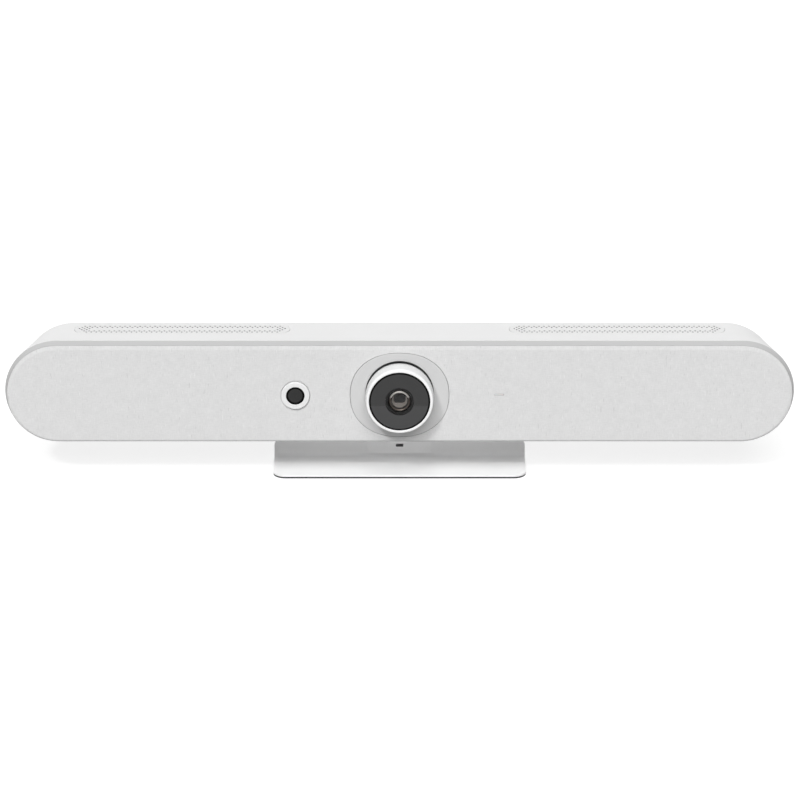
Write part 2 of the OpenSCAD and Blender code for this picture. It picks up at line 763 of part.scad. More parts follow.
module shell_fittings() {
  // Lugs for the front frame's screws
  at_frame_screws() {
    rod(shell_post_r, lip_d, lug_y);
    block([-shell_post_r, shell_post_r], [lip_d, lug_y], [0, body_h / 2 - wall / 2 - screw_z]);
  }
  // Posts for the chassis and for the speaker boxes
  at_chassis_posts() rod(shell_post_r, chassis_back, inner_y + wall / 2);
  for (s = [-1, 1]) translate([s * speaker_x, 0, 0]) corners(box_post_x, box_post_z)
    rod(shell_post_r, box_back_y, inner_y + wall / 2);
  // Bosses for the wall inserts and the stand's inserts
  at_wall_inserts() rod(insert_boss_r, shell_d - insert_l - 2 * wall, inner_y + wall / 2);
  at_stand_screws() translate([0, 0, -body_h / 2 + leaf])
    cylinder(r = insert_boss_r, h = insert_l + wall);
  // Flat seat of the stand, the bay's walls and the button's sleeve
  block([-neck_w / 2, neck_w / 2], [stand_back - neck_flange_d - neck_t, stand_back],
    [-body_h / 2, -body_h / 2 + wall]);
  block([-bay_half - wall, bay_half + wall], [bay_inner, inner_y + wall / 2],
    [bay_z0 - wall, bay_z1 + wall]);
  rod(sleeve_r, sleeve_y, inner_y + wall / 2, button_x, button_z);
}
module shell_cuts() {
  for (s = [-1, 1]) vent_seat(s);
  block([-bay_half, bay_half], [bay_floor, shell_d + over], [bay_z0, bay_z1]);
  block([-bay_half + bay_rim, bay_half - bay_rim], [bay_inner - over, bay_floor + over],
    [bay_z0 + bay_rim, bay_z1 - bay_rim]);
  at_frame_screws() rod(m3_r + run_gap, lip_d - over, lug_y - wall / 2);
  at_chassis_posts() rod(m3_r + run_gap, chassis_back - over, chassis_back + m3_l);
  at_wall_inserts() rod(insert_r + run_gap, shell_d - insert_l, shell_d + over);
  at_stand_screws() translate([0, 0, -body_h / 2 - over])
    cylinder(r = insert_r + run_gap, h = insert_l + over);
  rod(button_r + set_gap, shoulder_y - over, shell_d + over, button_x, button_z);
  rod(button_collar_r + set_gap, sleeve_y - over, shoulder_y, button_x, button_z);
}
module rear_shell() color("#f2f2f1") in_body() difference() {
  union() {
    difference() {
      shell_form(0, 0);
      shell_form(-over, wall);
    }
    shell_fittings();
  }
  shell_cuts();
}

// Front
module front_frame() color("#d2d2d2") in_body() difference() {
  union() {
    difference() {
      union() {
        hull() {
          slab(frame_y0, frame_y0 + leaf) stadium(cloth_w, cloth_h, $fn = hull_fn);
          slab(-leaf, 0) stadium(body_w, body_h, $fn = hull_fn);
        }
        slab(-leaf, lip_d) stadium(body_w - 2 * lip_in, body_h - 2 * lip_in);
      }
      slab(frame_y1, lip_d + over) stadium(cloth_w - 2 * skirt_t, cloth_h - 2 * skirt_t);
    }
    at_frame_screws() rod(frame_boss_r, frame_y1 - leaf, lip_d);
    translate([light_x, 0, -eye_drop]) for (s = [-1, 1])
      rod(light_post_r, frame_y1 - leaf, frame_y1 + light_board_off, s * (light_l / 2 + light_post_r));
  }
  rod(collar_r + set_gap, frame_y0 - over, frame_y1 + over);
  for (s = [-1, 1]) rod(fit_share * surround_r + set_gap, frame_y0 - over, frame_y1 + over, s * speaker_x);
  rod(eye_r + set_gap, frame_y0 - over, frame_y1 + over, -eye_x, -eye_drop);
  light_slot();
  at_microphones() rod(mic_hole_r, frame_y0 - over, frame_y1 + over);
  at_frame_screws() {
    rod(m3_r + run_gap, frame_y0 - over, lip_d + over);
    rod(m3_head_r + set_gap, frame_y0 - over, frame_y0 + m3_head_t);
  }
}
module light_slot() translate([light_x, 0, -eye_drop]) block(
  [-light_l / 2 - set_gap, light_l / 2 + set_gap], [cloth_y - over, frame_y1 + over],
  [-light_h / 2 - set_gap, light_h / 2 + set_gap]);
// Holes that the cloth and its panel share
module front_holes() {
  slab(cloth_y - over, frame_y0 + over) stadium(oval_w + 2 * set_gap, oval_h + 2 * set_gap);
  rod(eye_ring_r + set_gap, cloth_y - over, frame_y0 + over, -eye_x, -eye_drop);
  light_slot();
}
module grille_panel() color("#b9b9b9") in_body() difference() {
  slab(panel_y, frame_y0) stadium(cloth_w - 2 * cloth_t, cloth_h - 2 * cloth_t);
  front_holes();
  for (s = [-1, 1], i = [-panel_hole_n : panel_hole_n], k = [-panel_hole_n : panel_hole_n])
    if (norm([i, k]) * panel_hole_pitch < fit_share * cone_r)
      rod(panel_hole_r, panel_y - over, frame_y0 + over,
        s * speaker_x + i * panel_hole_pitch, k * panel_hole_pitch);
}
// Depth of the cloth's rounded edge at an angle
function cloth_step(a) = frame_y0 - (cloth_r - leaf) * sin(a);
module fabric_cover() color("#dcdcdc") in_body() difference() {
  hull() for (i = [0 : fillet_steps]) let (a = 90 * i / fillet_steps)
    slab(cloth_step(a) - leaf, cloth_step(a))
      stadium(cloth_w - 2 * cloth_r * (1 - cos(a)), cloth_h - 2 * cloth_r * (1 - cos(a)),
        $fn = hull_fn);
  slab(panel_y, frame_y0 + over) stadium(cloth_w - 2 * cloth_t, cloth_h - 2 * cloth_t);
  front_holes();
}
module oval_trim() color("#d9d9d9") in_body() difference() {
  union() {
    slab(trim_y0, frame_y0) stadium(oval_w, oval_h);
    rod(collar_r, frame_y0 - leaf, frame_y1);
  }
  taper(dish_r + over * dish_slope, hole_r, trim_y0 - over, hole_y);
  rod(hole_r, hole_y - over, frame_y1 + over);
}

// Vents
vent_lines = [for (s = [-1, 1], k = [-1, 1]) s * vent_row + k * vent_line / 2];
vent_middle_lines = [for (k = [-1, 1]) k * vent_line / 2];
vent_straight = (vent_l - vent_w) / 2;
vent_n = floor(vent_l / vent_pitch / 2);
function in_vent(x, y) = norm([max(abs(x) - vent_straight, 0), y]) < vent_w / 2 - vent_rim - vent_hole;
module vent_grille(s) color("#e4e4e4") in_body() translate([s * vent_x, vent_y, vent_top])
  difference() {
    union() {
      translate([0, 0, -vent_flange_t]) linear_extrude(vent_flange_t) stadium(vent_l, vent_w);
      translate([0, 0, -vent_t]) linear_extrude(vent_t - leaf)
        stadium(vent_l - 2 * vent_rim, vent_w - 2 * vent_rim);
    }
    for (i = [-vent_n : vent_n], line = [0 : 3]) vent_diamond(i + line % 2 / 2, vent_lines[line]);
    for (i = [-vent_n : vent_n], line = [0, 1]) if (abs(i) * vent_pitch > vent_straight)
      vent_diamond(i + line / 2, vent_middle_lines[line]);
  }
module vent_diamond(step, y) if (in_vent(step * vent_pitch, y))
  translate([step * vent_pitch, y, -vent_t - over])
    cylinder(r = vent_hole, h = vent_t + 2 * over, $fn = 4);
module vent_grille_left() vent_grille(-1);
module vent_grille_right() vent_grille(1);

// Turret
// Radius of the turret's outside ahead of its pivot
function front_radius(z) = ball_r - (ball_r - face_r) * z / face_ahead;
module turret_shell() color("#f4f4f4") in_head() difference() {
  union() {
    rotate_extrude() difference() {
      union() {
        intersection() {
          circle(r = ball_r);
          translate([0, -ball_r]) square(ball_r);
        }
        polygon([[0, -over], [ball_in, -over], [ball_r, 0], [front_radius(ring_z0), ring_z0],
          [0, ring_z0]]);
      }
      circle(r = ball_in);
      polygon([[0, 0], [2 * ball_r * sin(ball_open), -2 * ball_r * cos(ball_open)],
        [0, -2 * ball_r]]);
    }
    translate([tilt_rotor_out, 0, 0]) rotate([0, 90, 0])
      cylinder(r = tilt_boss_r, h = ball_in + ball_wall / 2 - tilt_rotor_out);
    translate([-ball_in - ball_wall / 2, 0, 0]) rotate([0, 90, 0])
      cylinder(r = ring_boss_r, h = ball_in + ball_wall / 2 - ring_flat - motor_gap);
  }
  rotate([0, 90, 0]) cylinder(r = pin_r + run_gap, h = 2 * tilt_pin_out, center = true);
}
module turret_ring() color("#fafafa") in_head() rotate_extrude() polygon([
  [glass_r - ledge_w, ring_z0], [front_radius(ring_z0), ring_z0],
  [front_radius(face_ahead - face_bevel), face_ahead - face_bevel],
  [face_r - face_bevel, face_ahead], [glass_r + slide_gap, face_ahead],
  [glass_r + slide_gap, carrier_z0], [glass_r - ledge_w, carrier_z0]]);
module turret_glass() color("#2c2c2c") in_head() translate([0, 0, glass_z0])
  cylinder(r = glass_r, h = glass_t);
module lens_carrier() color("#303030") in_head() translate([0, 0, carrier_z0])
  washer(glass_r, lens_ring_r + slide_gap, carrier_t);
module lens_ring() color("#141414") in_head() translate([0, 0, carrier_z0])
  washer(lens_ring_r, lens_r + slide_gap, carrier_t);
module lens_front() color("#3c3a38") in_head() translate([0, 0, lens_z0])
  rotate_extrude() intersection() {
    translate([0, lens_t - lens_dome]) circle(r = lens_dome, $fn = dome_fn);
    square([lens_r, lens_t]);
  }
module lens_barrel() color("#1a1a1a") in_head() difference() {
  union() {
    translate([0, 0, flange_z0]) cylinder(r = flange_r, h = flange_t);
    translate([0, 0, -barrel_end]) cylinder(r = barrel_r, h = barrel_end + flange_z0 + leaf);
  }
  translate([0, 0, -barrel_end - over]) cylinder(r = bore_r, h = barrel_end + face_ahead);
  translate([0, 0, lens_z0]) cylinder(r = lens_r + slide_gap, h = lens_seat + over);
}
module zoom_cell() color("#222222") in_head() translate([0, 0, -zoom_end])
  washer(bore_r - slide_gap, zoom_lens_r + slide_gap, zoom_l);
module zoom_lens() color("#8890a0") in_head()
  translate([0, 0, -zoom_end + (zoom_l - zoom_lens_t) / 2])
    cylinder(r = zoom_lens_r, h = zoom_lens_t);
module sensor_board() color("#1d5a36") in_head() {
  translate([-sensor_side / 2, -sensor_side / 2, -barrel_end - board_t])
    cube([sensor_side, sensor_side, board_t]);
  translate([-sensor_w / 2, -sensor_h / 2, -barrel_end - leaf])
    cube([sensor_w, sensor_h, sensor_t + leaf]);
}

// Gimbal
// Children along the pan axis, above and below the pivot
module along_pan() for (s = [0, 1]) mirror([0, s, 0]) rotate([-90, 0, 0]) children();
// Children along the tilt axis, right and left of the pivot
module along_tilt() for (s = [0, 1]) mirror([s, 0, 0]) rotate([0, 90, 0]) children();
module gimbal_ring() color("#c9ccd0") in_head() difference() {
  union() {
    translate([0, 0, -ring_half]) washer(ring_out, ring_in, 2 * ring_half);
    along_pan() translate([0, 0, bush_in]) cylinder(r = ring_boss_r, h = ring_flat - bush_in);
    along_tilt() translate([0, 0, bush_in]) cylinder(r = ring_boss_r, h = ring_flat - bush_in);
  }
  along_pan() translate([0, 0, bush_in]) cylinder(r = bush_r, h = ring_flat);
  along_tilt() translate([0, 0, bush_in]) cylinder(r = bush_r, h = ring_flat);
}
module bush() translate([0, 0, bush_in]) washer(bush_r, pin_r + run_gap, ring_flat - bush_in);
module gimbal_bushes() color("#b08d4a") in_head() {
  along_pan() bush();
  along_tilt() bush();
}
module pan_pins() color("#9a9da0") in_head() along_pan()
  translate([0, 0, pin_in]) cylinder(r = pin_r, h = arm_out - pin_in);
module tilt_pins() color("#9a9da0") in_head() along_tilt()
  translate([0, 0, pin_in]) cylinder(r = pin_r, h = tilt_pin_out - pin_in);
module motor_disc(r, from, h) translate([0, 0, from]) washer(r, pin_r + run_gap, h);
module pan_rotor() color("#8c8f94") in_head() rotate([90, 0, 0])
  motor_disc(pan_motor_r, ring_flat, rotor_t);
module pan_stator() color("#7a4a2c") in_head() rotate([90, 0, 0])
  motor_disc(pan_motor_r, pan_stator_in, stator_t);
module tilt_stator() color("#7a4a2c") in_head() rotate([0, 90, 0])
  motor_disc(tilt_motor_r, ring_flat, stator_t);
module tilt_rotor() color("#8c8f94") in_head() rotate([0, 90, 0])
  motor_disc(tilt_motor_r, tilt_rotor_in, rotor_t);
module at_post_screws(share = 1) for (a = [45 : 90 : 315])
  rotate([0, 0, a]) translate([share * post_screw_pcr, 0, 0]) children();
module gimbal_fork() color("#c2c5c9") in_head() difference() {
  union() {
    translate([-fork_half, -arm_out, -fork_back - fork_t])
      cube([2 * fork_half, 2 * arm_out, fork_t]);
    for (s = [0, 1]) mirror([0, s, 0]) {
      translate([-fork_half, arm_in, -fork_back - fork_t])
        cube([2 * fork_half, fork_t, fork_back + fork_t]);
      translate([0, arm_out, 0]) rotate([90, 0, 0]) cylinder(r = fork_half, h = fork_t);
    }
    translate([0, arm_in + leaf, 0]) rotate([90, 0, 0])
      cylinder(r = fork_boss_r, h = arm_in - ring_flat - motor_gap + leaf);
    translate([0, 0, -post_foot]) cylinder(r = post_r, h = post_foot - fork_back - leaf);
    translate([0, 0, -post_foot]) cylinder(r = post_flange_r, h = post_flange_t);
  }
  translate([0, 0, -post_foot - over]) cylinder(r = post_bore_r, h = post_foot - fork_back + 2 * over);
  along_pan() translate([0, 0, ring_flat]) cylinder(r = pin_r + run_gap, h = arm_out);
  at_post_screws() translate([0, 0, -post_foot - over])
    cylinder(r = (m2_r + run_gap) / fit_share, h = post_flange_t + 2 * over);
}

// Second camera, status light and microphones
module at_eye() translate([-eye_x, 0, -eye_drop]) children();
module eye_ring() color("#ededed") in_body() at_eye() difference() {
  union() {
    rod(eye_ring_r, cloth_y - eye_proud + eye_set, frame_y0);
    taper(eye_ring_r - eye_set, eye_ring_r, cloth_y - eye_proud, cloth_y - eye_proud + eye_set);
  }
  rod(eye_r + slide_gap, cloth_y - eye_proud - over, frame_y0 + over);
}
module eye_window() color("#0c0c0c") in_body() at_eye()
  rod(eye_r, eye_window_y, eye_window_y + eye_window_t);
module eye_module() color("#262626") in_body() at_eye() {
  rod(eye_r - set_gap, eye_window_y + eye_window_t, eye_module_y);
  rod(eye_r + eye_flange, frame_y1, frame_y1 + frame_t);
  block([-eye_board / 2, eye_board / 2], [eye_module_y - leaf, eye_module_y + board_t],
    [-eye_board / 2, eye_board / 2]);
}
module light_pipe() color("#c8c8c8") in_body() translate([light_x, 0, -eye_drop]) block(
  [-light_l / 2, light_l / 2], [cloth_y + oval_set, frame_y1 + light_board_off],
  [-light_h / 2, light_h / 2]);
module light_board() color("#1d5a36") in_body() translate([light_x, 0, -eye_drop]) block(
  [-light_board_l / 2, light_board_l / 2],
  [frame_y1 + light_board_off, frame_y1 + light_board_off + board_t],
  [-light_board_h / 2, light_board_h / 2]);
module at_microphones() for (s = [-1, 1], k = [-1, 0, 1])
  translate([s * mic_x + k * mic_pitch, 0, mic_z]) children();
module microphone_strips() color("#1d5a36") in_body() difference() {
  for (s = [-1, 1]) translate([s * mic_x, 0, mic_z]) block([-mic_strip_l / 2, mic_strip_l / 2],
    [frame_y1, frame_y1 + board_t], [-mic_strip_h / 2, mic_strip_h / 2]);
  at_microphones() rod(mic_hole_r, frame_y1 - over, frame_y1 + board_t + over);
}
module microphones() color("#c9b36a") in_body() at_microphones()
  rod(mic_r, frame_y1 + board_t, frame_y1 + board_t + mic_t);

// Speakers, each turned about an axis that points to the back
module speaker(s)
  translate([s * speaker_x, frame_y1, 0]) rotate([-90, 0, 0]) scale(fit_share) children();
module speaker_baskets() color("#2f3236") in_body() for (s = [-1, 1]) speaker(s)
  rotate_extrude() polygon([[mouth_r, 0], [basket_r, 0], [basket_r, basket_flange_t],
    [mouth_r + basket_wall, basket_flange_t], [basket_back_r + basket_wall, basket_d - basket_wall],
    [basket_back_r + basket_wall, basket_d], [coil_hole_r, basket_d],
    [coil_hole_r, basket_d - basket_wall], [basket_back_r, basket_d - basket_wall],
    [mouth_r, basket_flange_t]]);
module speaker_magnets() color("#55585c") in_body() for (s = [-1, 1]) speaker(s)
  translate([0, 0, basket_d]) difference() {
    cylinder(r = magnet_r, h = magnet_d);
    translate([0, 0, -over])
      washer(coil_r + coil_gap, coil_r - coil_t - coil_gap, magnet_gap_d + over);
  }
module speaker_surrounds() color("#1c1c1c") in_body() for (s = [-1, 1]) speaker(s)
  translate([0, 0, cone_set]) rotate_extrude() {
    intersection() {
      translate([roll_at, 0]) difference() {
        circle(r = roll_r);
        circle(r = roll_r - surround_t);
      }
      translate([0, -2 * roll_r]) square([surround_r, 2 * roll_r]);
    }
    translate([cone_r + free_gap, -surround_t])
      square([roll_at - roll_r + surround_t - cone_r - free_gap, surround_t]);
    translate([roll_at + roll_r - surround_t, -surround_t])
      square([surround_r - roll_at - roll_r + surround_t, surround_t]);
  }
module speaker_cone(s) color("#3a3a3a") in_body() speaker(s) translate([0, 0, cone_set])
  rotate_extrude() {
    polygon([[0, cone_d - cone_t], [coil_r - cone_t, cone_d - cone_t], [cone_r - cone_t, 0],
      [cone_r, 0], [coil_r, cone_d], [0, cone_d]]);
    translate([coil_r - coil_t, cone_d - cone_t]) square([coil_t, coil_l + cone_t]);
  }
module speaker_cone_left() speaker_cone(-1);
module speaker_cone_right() speaker_cone(1);
module speaker_boxes() color("#3d4043") in_body() for (s = [-1, 1])
  translate([s * speaker_x, 0, 0]) difference() {
    block([-box_half, box_half], [box_y0, box_back_y], [-box_half_h, box_half_h]);
    block([-box_half + box_wall, box_half - box_wall], [box_y0 + box_wall, box_back_y - box_wall],
      [-box_half_h + box_wall, box_half_h - box_wall]);
    rod(fit_share * (mouth_r + basket_wall) + set_gap, box_y0 - over, box_y0 + box_wall + over);
  }

// Chassis and boards
module at_main_screws() corners(main_screw_x, main_screw_z) children();
module at_side_screws() for (s = [-1, 1]) translate([s * side_x, 0, 0])
  corners(side_half - side_screw_in, side_half_h - side_screw_in) children();
module chassis_plate() color("#bfc3c7") in_body() difference() {
  union() {
    block([-chassis_half, chassis_half], [chassis_y, chassis_back], [-chassis_half_h, chassis_half_h]);
    at_main_screws() rod(standoff_r, chassis_back - leaf, board_y);
    at_side_screws() rod(standoff_r, chassis_back - leaf, board_y);
  }
  at_chassis_posts() rod(m3_r + run_gap, chassis_y - over, chassis_back + over);
  at_main_screws() rod(m2_r + run_gap, chassis_back, board_y + over);
  at_side_screws() rod(m2_r + run_gap, chassis_back, board_y + over);
  rod(fit_share * post_bore_r, chassis_y - over, chassis_back + over);
  rotate([90, 0, 0]) at_post_screws(fit_share) translate([0, 0, -chassis_back - over])
    cylinder(r = m2_r + run_gap, h = chassis_t + 2 * over);
}
module main_board() color("#1d5a36") in_body() difference() {
  block([-main_half, main_half], [board_y, board_back], [-main_half_h, main_half_h]);
  at_main_screws() rod(m2_r + run_gap, board_y - over, board_back + over);
}
module processor_chips() color("#26282b") in_body() for (k = [-1, 0, 1])
  translate([sink_mid + k * chip_pitch, 0, (sink_z0 + sink_z1) / 2])
    block([-chip_w / 2, chip_w / 2], [board_back, sink_y], [-chip_w / 2, chip_w / 2]);
module side_plate() difference() {
  block([-side_half, side_half], [board_y, board_back], [-side_half_h, side_half_h]);
  corners(side_half - side_screw_in, side_half_h - side_screw_in)
    rod(m2_r + run_gap, board_y - over, board_back + over);
}
module amplifier_board() color("#1d5a36") in_body() translate([-side_x, 0, 0]) {
  side_plate();
  for (k = [-1, 0, 1]) rod(cap_r, board_back - leaf, board_back + cap_l, k * cap_pitch);
}
module radio_board() color("#1d5a36") in_body() translate([side_x, 0, 0]) {
  side_plate();
  block([-can_w / 2, can_w / 2], [board_back - leaf, board_back + can_t], [-can_w / 2, can_w / 2]);
}

// Cooling
module heat_sink() color("#a9adb2") in_body() {
  block([sink_x0, sink_x1], [sink_y, sink_y + sink_base], [sink_z0, sink_z1]);
  for (i = [0 : fin_n - 1]) let (x = sink_x0 + i * (sink_x1 - sink_x0 - fin_t) / (fin_n - 1))
    block([x, x + fin_t], [sink_y + sink_base - leaf, sink_y + sink_base + fin_l],
      [sink_z0, sink_z1]);
}
module at_fan() translate([fan_x, board_back, fan_z]) rotate([-90, 0, 0]) children();
module fan_housing() color("#2b2d30") in_body() at_fan() difference() {
  union() {
    difference() {
      translate([-fan_w / 2, -fan_w / 2, 0]) cube([fan_w, fan_w, fan_t]);
      translate([0, 0, fan_wall]) cylinder(r = fan_r + 2 * free_gap, h = fan_t - 2 * fan_wall);
      translate([0, 0, fan_wall]) cylinder(r = fan_inlet_r, h = fan_t);
      translate([-fan_w, -fan_r / 2, fan_wall]) cube([fan_w, fan_r, fan_t - 2 * fan_wall]);
    }
    cylinder(r = bearing_r, h = bearing_top);
  }
  translate([0, 0, fan_wall]) cylinder(r = shaft_r + run_gap, h = fan_t);
}
module fan_rotor() color("#3a3d41") in_body() at_fan() {
  difference() {
    translate([0, 0, rotor_z0]) cylinder(r = hub_r, h = rotor_z1 - rotor_z0);
    translate([0, 0, rotor_z0 - over])
      cylinder(r = bearing_r + 2 * free_gap, h = bearing_top - rotor_z0 + over + free_gap);
  }
  translate([0, 0, fan_wall + free_gap]) cylinder(r = shaft_r, h = rotor_z1 - fan_wall - free_gap);
  for (i = [0 : blade_n - 1]) rotate([0, 0, 360 * i / blade_n])
    translate([hub_r - blade_t, -blade_t / 2, rotor_z0])
      cube([fan_r - hub_r + blade_t, blade_t, rotor_z1 - rotor_z0]);
}

// Sockets
socket_shares = [-0.81, -0.5, -0.195, 0.083, 0.35, 0.583, 0.82];
function socket_at(i) = socket_shares[i] * bay_half;
module socket_panel() color("#3a3c3f") in_body() difference() {
  block([-bay_half + bay_rim / 2, bay_half - bay_rim / 2], [bay_inner - panel_t, bay_inner],
    [bay_z0 + bay_rim / 2, bay_z1 - bay_rim / 2]);
  rod(power_r + set_gap, bay_inner - panel_t - over, bay_inner + over, socket_at(0), socket_z);
  panel_hole(socket_at(1), net_w, net_h);
  for (i = [2, 3]) panel_hole(socket_at(i), video_w, video_h);
  for (i = [4, 5, 6]) panel_hole(socket_at(i), data_w, data_h);
}
module panel_hole(x, w, h) block([x - w / 2 - set_gap, x + w / 2 + set_gap],
  [bay_inner - panel_t - over, bay_inner + over],
  [socket_z - h / 2 - set_gap, socket_z + h / 2 + set_gap]);
// Shell of a socket with its mouth at the back and a tongue inside
module socket(x, w, h) {
  difference() {
    block([x - w / 2, x + w / 2], [board_back, socket_y], [socket_z - h / 2, socket_z + h / 2]);
    block([x - w / 2 + socket_wall, x + w / 2 - socket_wall], [socket_y - socket_d, socket_y + over],
      [socket_z - h / 2 + socket_wall, socket_z + h / 2 - socket_wall]);
  }
  block([x - w / 3, x + w / 3], [socket_y - socket_d - leaf, socket_y - socket_d / 8],
    [socket_z - socket_wall, socket_z + socket_wall]);
}
module video_data_sockets() color("#b4b8bc") in_body() {
  for (i = [2, 3]) socket(socket_at(i), video_w, video_h);
  for (i = [4, 5, 6]) socket(socket_at(i), data_w, data_h);
}
module network_socket() color("#8f9296") in_body() translate([socket_at(1), 0, socket_z])
  difference() {
    block([-net_w / 2, net_w / 2], [board_back, socket_y], [-net_h / 2, net_h / 2]);
    block([-net_w / 2 + net_wall, net_w / 2 - net_wall], [socket_y - socket_d, socket_y + over],
      [-net_h / 2 + net_wall, net_h / 2 - net_wall]);
  }
module power_socket() color("#1c1c1c") in_body() translate([socket_at(0), 0, socket_z]) {
  difference() {
    rod(power_r, board_back, socket_y);
    rod(power_bore_r, socket_y - socket_d, socket_y + over);
  }
  rod(power_pin_r, socket_y - socket_d - leaf, socket_y - socket_wall);
}

// Power button
module at_button() translate([button_x, 0, button_z]) children();
module power_button() color("#e0e0e0") in_body() at_button() {
  rod(button_r, collar_y1 - leaf, button_face);
  rod(button_collar_r, collar_y0, collar_y1);
}
module button_board() color("#1d5a36") in_body() at_button() {
  rod(sleeve_r, sleeve_y - board_t, sleeve_y);
  rod(switch_r, sleeve_y - leaf, collar_y0 - button_travel - free_gap);
}

// Inserts and screws
module insert() washer(insert_r, insert_bore_r, insert_l);
module threaded_inserts() color("#b8974a") in_body() {
  at_wall_inserts() translate([0, shell_d, 0]) rotate([90, 0, 0]) insert();
  at_stand_screws() translate([0, 0, -body_h / 2]) insert();
}
module body_screws() color("#8f9296") in_body() {
  at_frame_screws() translate([0, frame_y0 + m3_head_t, 0])
    screw(m3_r, m3_head_r, m3_head_t, lug_y - wall - frame_y0 - m3_head_t);
  at_chassis_posts() translate([0, chassis_y, 0])
    screw(m3_r, m3_head_r, m3_head_t, chassis_t + m3_l - over);
}
module board_screws() color("#8f9296") in_body() {
  at_main_screws() board_screw();
  at_side_screws() board_screw();
  rotate([90, 0, 0]) at_post_screws(fit_share)
    translate([0, 0, fit_share * post_flange_t - chassis_y]) rotate([-90, 0, 0])
      screw(m2_r, m2_head_r, m2_head_t, fit_share * post_flange_t + chassis_t);
}
module board_screw() translate([0, board_back, 0]) mirror([0, 1, 0])
  screw(m2_r, m2_head_r, m2_head_t, board_t + standoff - over);
module stand_screws() color("#a5a8ab") on_table() {
  at_stand_screws() translate([0, 0, seat_z - neck_t - m4_head_t]) {
    cylinder(r = m4_head_r, h = m4_head_t);
    cylinder(r = m4_r, h = m4_head_t + neck_t + insert_l - over);
  }
  at_neck_screws() mirror([0, 1, 0])
    screw(m4_r, m4_head_r, m4_head_t, stand_t + neck_t);
}

// Stand
module at_neck_screws() for (s = [-1, 1])
  translate([s * stand_screw_x, stand_back + stand_t, plate_top + neck_screw_z]) children();
module stand_profile() {
  translate([-stand_front, foot_t]) square([stand_front + bend_y + leaf, stand_t]);
  translate([stand_back, bend_z - leaf]) square([stand_t, strip_top - bend_z + leaf]);
  translate([bend_y, bend_z]) intersection() {
    difference() {
      circle(r = bend_r + stand_t);
      circle(r = bend_r);
    }
    translate([0, -2 * bend_r - stand_t]) square(2 * bend_r + stand_t);
  }
}
// Rectangle from a lower to an upper edge, with its two low or high corners rounded
module rounded_sheet(w, low, high, r, round_low) {
  flat_low = round_low ? low + r : low;
  flat_high = round_low ? high : high - r;
  translate([-w / 2, flat_low]) square([w, flat_high - flat_low]);
  translate([-w / 2 + r, low]) square([w - 2 * r, high - low]);
  for (s = [-1, 1]) translate([s * (w / 2 - r), round_low ? low + r : high - r]) circle(r = r);
}
module lock_slot() block([-slot_w / 2, slot_w / 2],
  [stand_back - neck_t - over, stand_back + stand_t + over],
  [plate_top + slot_z - slot_h / 2, plate_top + slot_z + slot_h / 2]);
module stand_plate() color("#ececec") on_table() difference() {
  intersection() {
    translate([-stand_w / 2, 0, 0]) rotate([90, 0, 90]) linear_extrude(stand_w) stand_profile();
    linear_extrude(body_z) rounded_sheet(stand_w, -stand_front, 2 * stand_back, stand_corner, true);
    slab(-2 * stand_front - over, 2 * stand_back)
      rounded_sheet(stand_w, 0, strip_top, strip_corner, false);
  }
  lock_slot();
  at_neck_screws() rotate([90, 0, 0]) translate([0, 0, -over])
    cylinder(r = m4_r + run_gap, h = stand_t + 2 * over);
}
module stand_neck() color("#d8d8d8") on_table() difference() {
  union() {
    block([-neck_w / 2, neck_w / 2], [stand_back - neck_t, stand_back], [neck_z0, seat_z]);
    block([-neck_w / 2, neck_w / 2], [stand_back - neck_t - neck_flange_d, stand_back],
      [seat_z - neck_t, seat_z]);
  }
  lock_slot();
  at_neck_screws() rotate([90, 0, 0]) cylinder(r = m4_r + run_gap, h = stand_t + neck_t + over);
  at_stand_screws() translate([0, 0, seat_z - neck_t - over])
    cylinder(r = m4_r + run_gap, h = neck_t + 2 * over);
}
module rubber_feet() color("#3a3a3a") on_table() for (s = [-1, 1], y = [foot_y0, foot_y1])
  translate([s * (stand_w / 2 - stand_corner - foot_l / 2), y, 0])
    linear_extrude(foot_t) stadium(foot_l, 2 * foot_r);

// Whole part
rear_shell();
front_frame();
grille_panel();
fabric_cover();
oval_trim();
vent_grille_left();
vent_grille_right();
turret_shell();
turret_ring();
turret_glass();
lens_carrier();
lens_ring();
lens_front();
lens_barrel();
zoom_cell();
zoom_lens();
sensor_board();
gimbal_ring();
gimbal_bushes();
gimbal_fork();
pan_pins();
tilt_pins();
pan_rotor();
pan_stator();
tilt_rotor();
tilt_stator();
eye_ring();
eye_window();
eye_module();
light_pipe();
light_board();
microphone_strips();
microphones();
speaker_baskets();
speaker_magnets();
speaker_surrounds();
speaker_cone_left();
speaker_cone_right();
speaker_boxes();
chassis_plate();
main_board();
processor_chips();
amplifier_board();
radio_board();
heat_sink();
fan_housing();
fan_rotor();
socket_panel();
video_data_sockets();
network_socket();
power_socket();
power_button();
button_board();
threaded_inserts();
body_screws();
board_screws();
stand_screws();
stand_plate();
stand_neck();
rubber_feet();
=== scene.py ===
# %% [markdown]
# # A conference camera, dressed for a photograph
#
# The real thing is a low wide bar for a meeting room. A moulded housing is closed at the front by a grey
# frame, and a woven cloth is stretched over that frame. A white ball with a camera in it turns in an oval
# trim, a smaller camera looks out beside it, and the bar stands on a bent metal sheet.
#
# The solids come from a CAD model, which is loaded first as a fixed frame. This lesson puts finer pieces
# over the solids that show, gives every solid a finish, and then sets up the light, the floor and the camera.

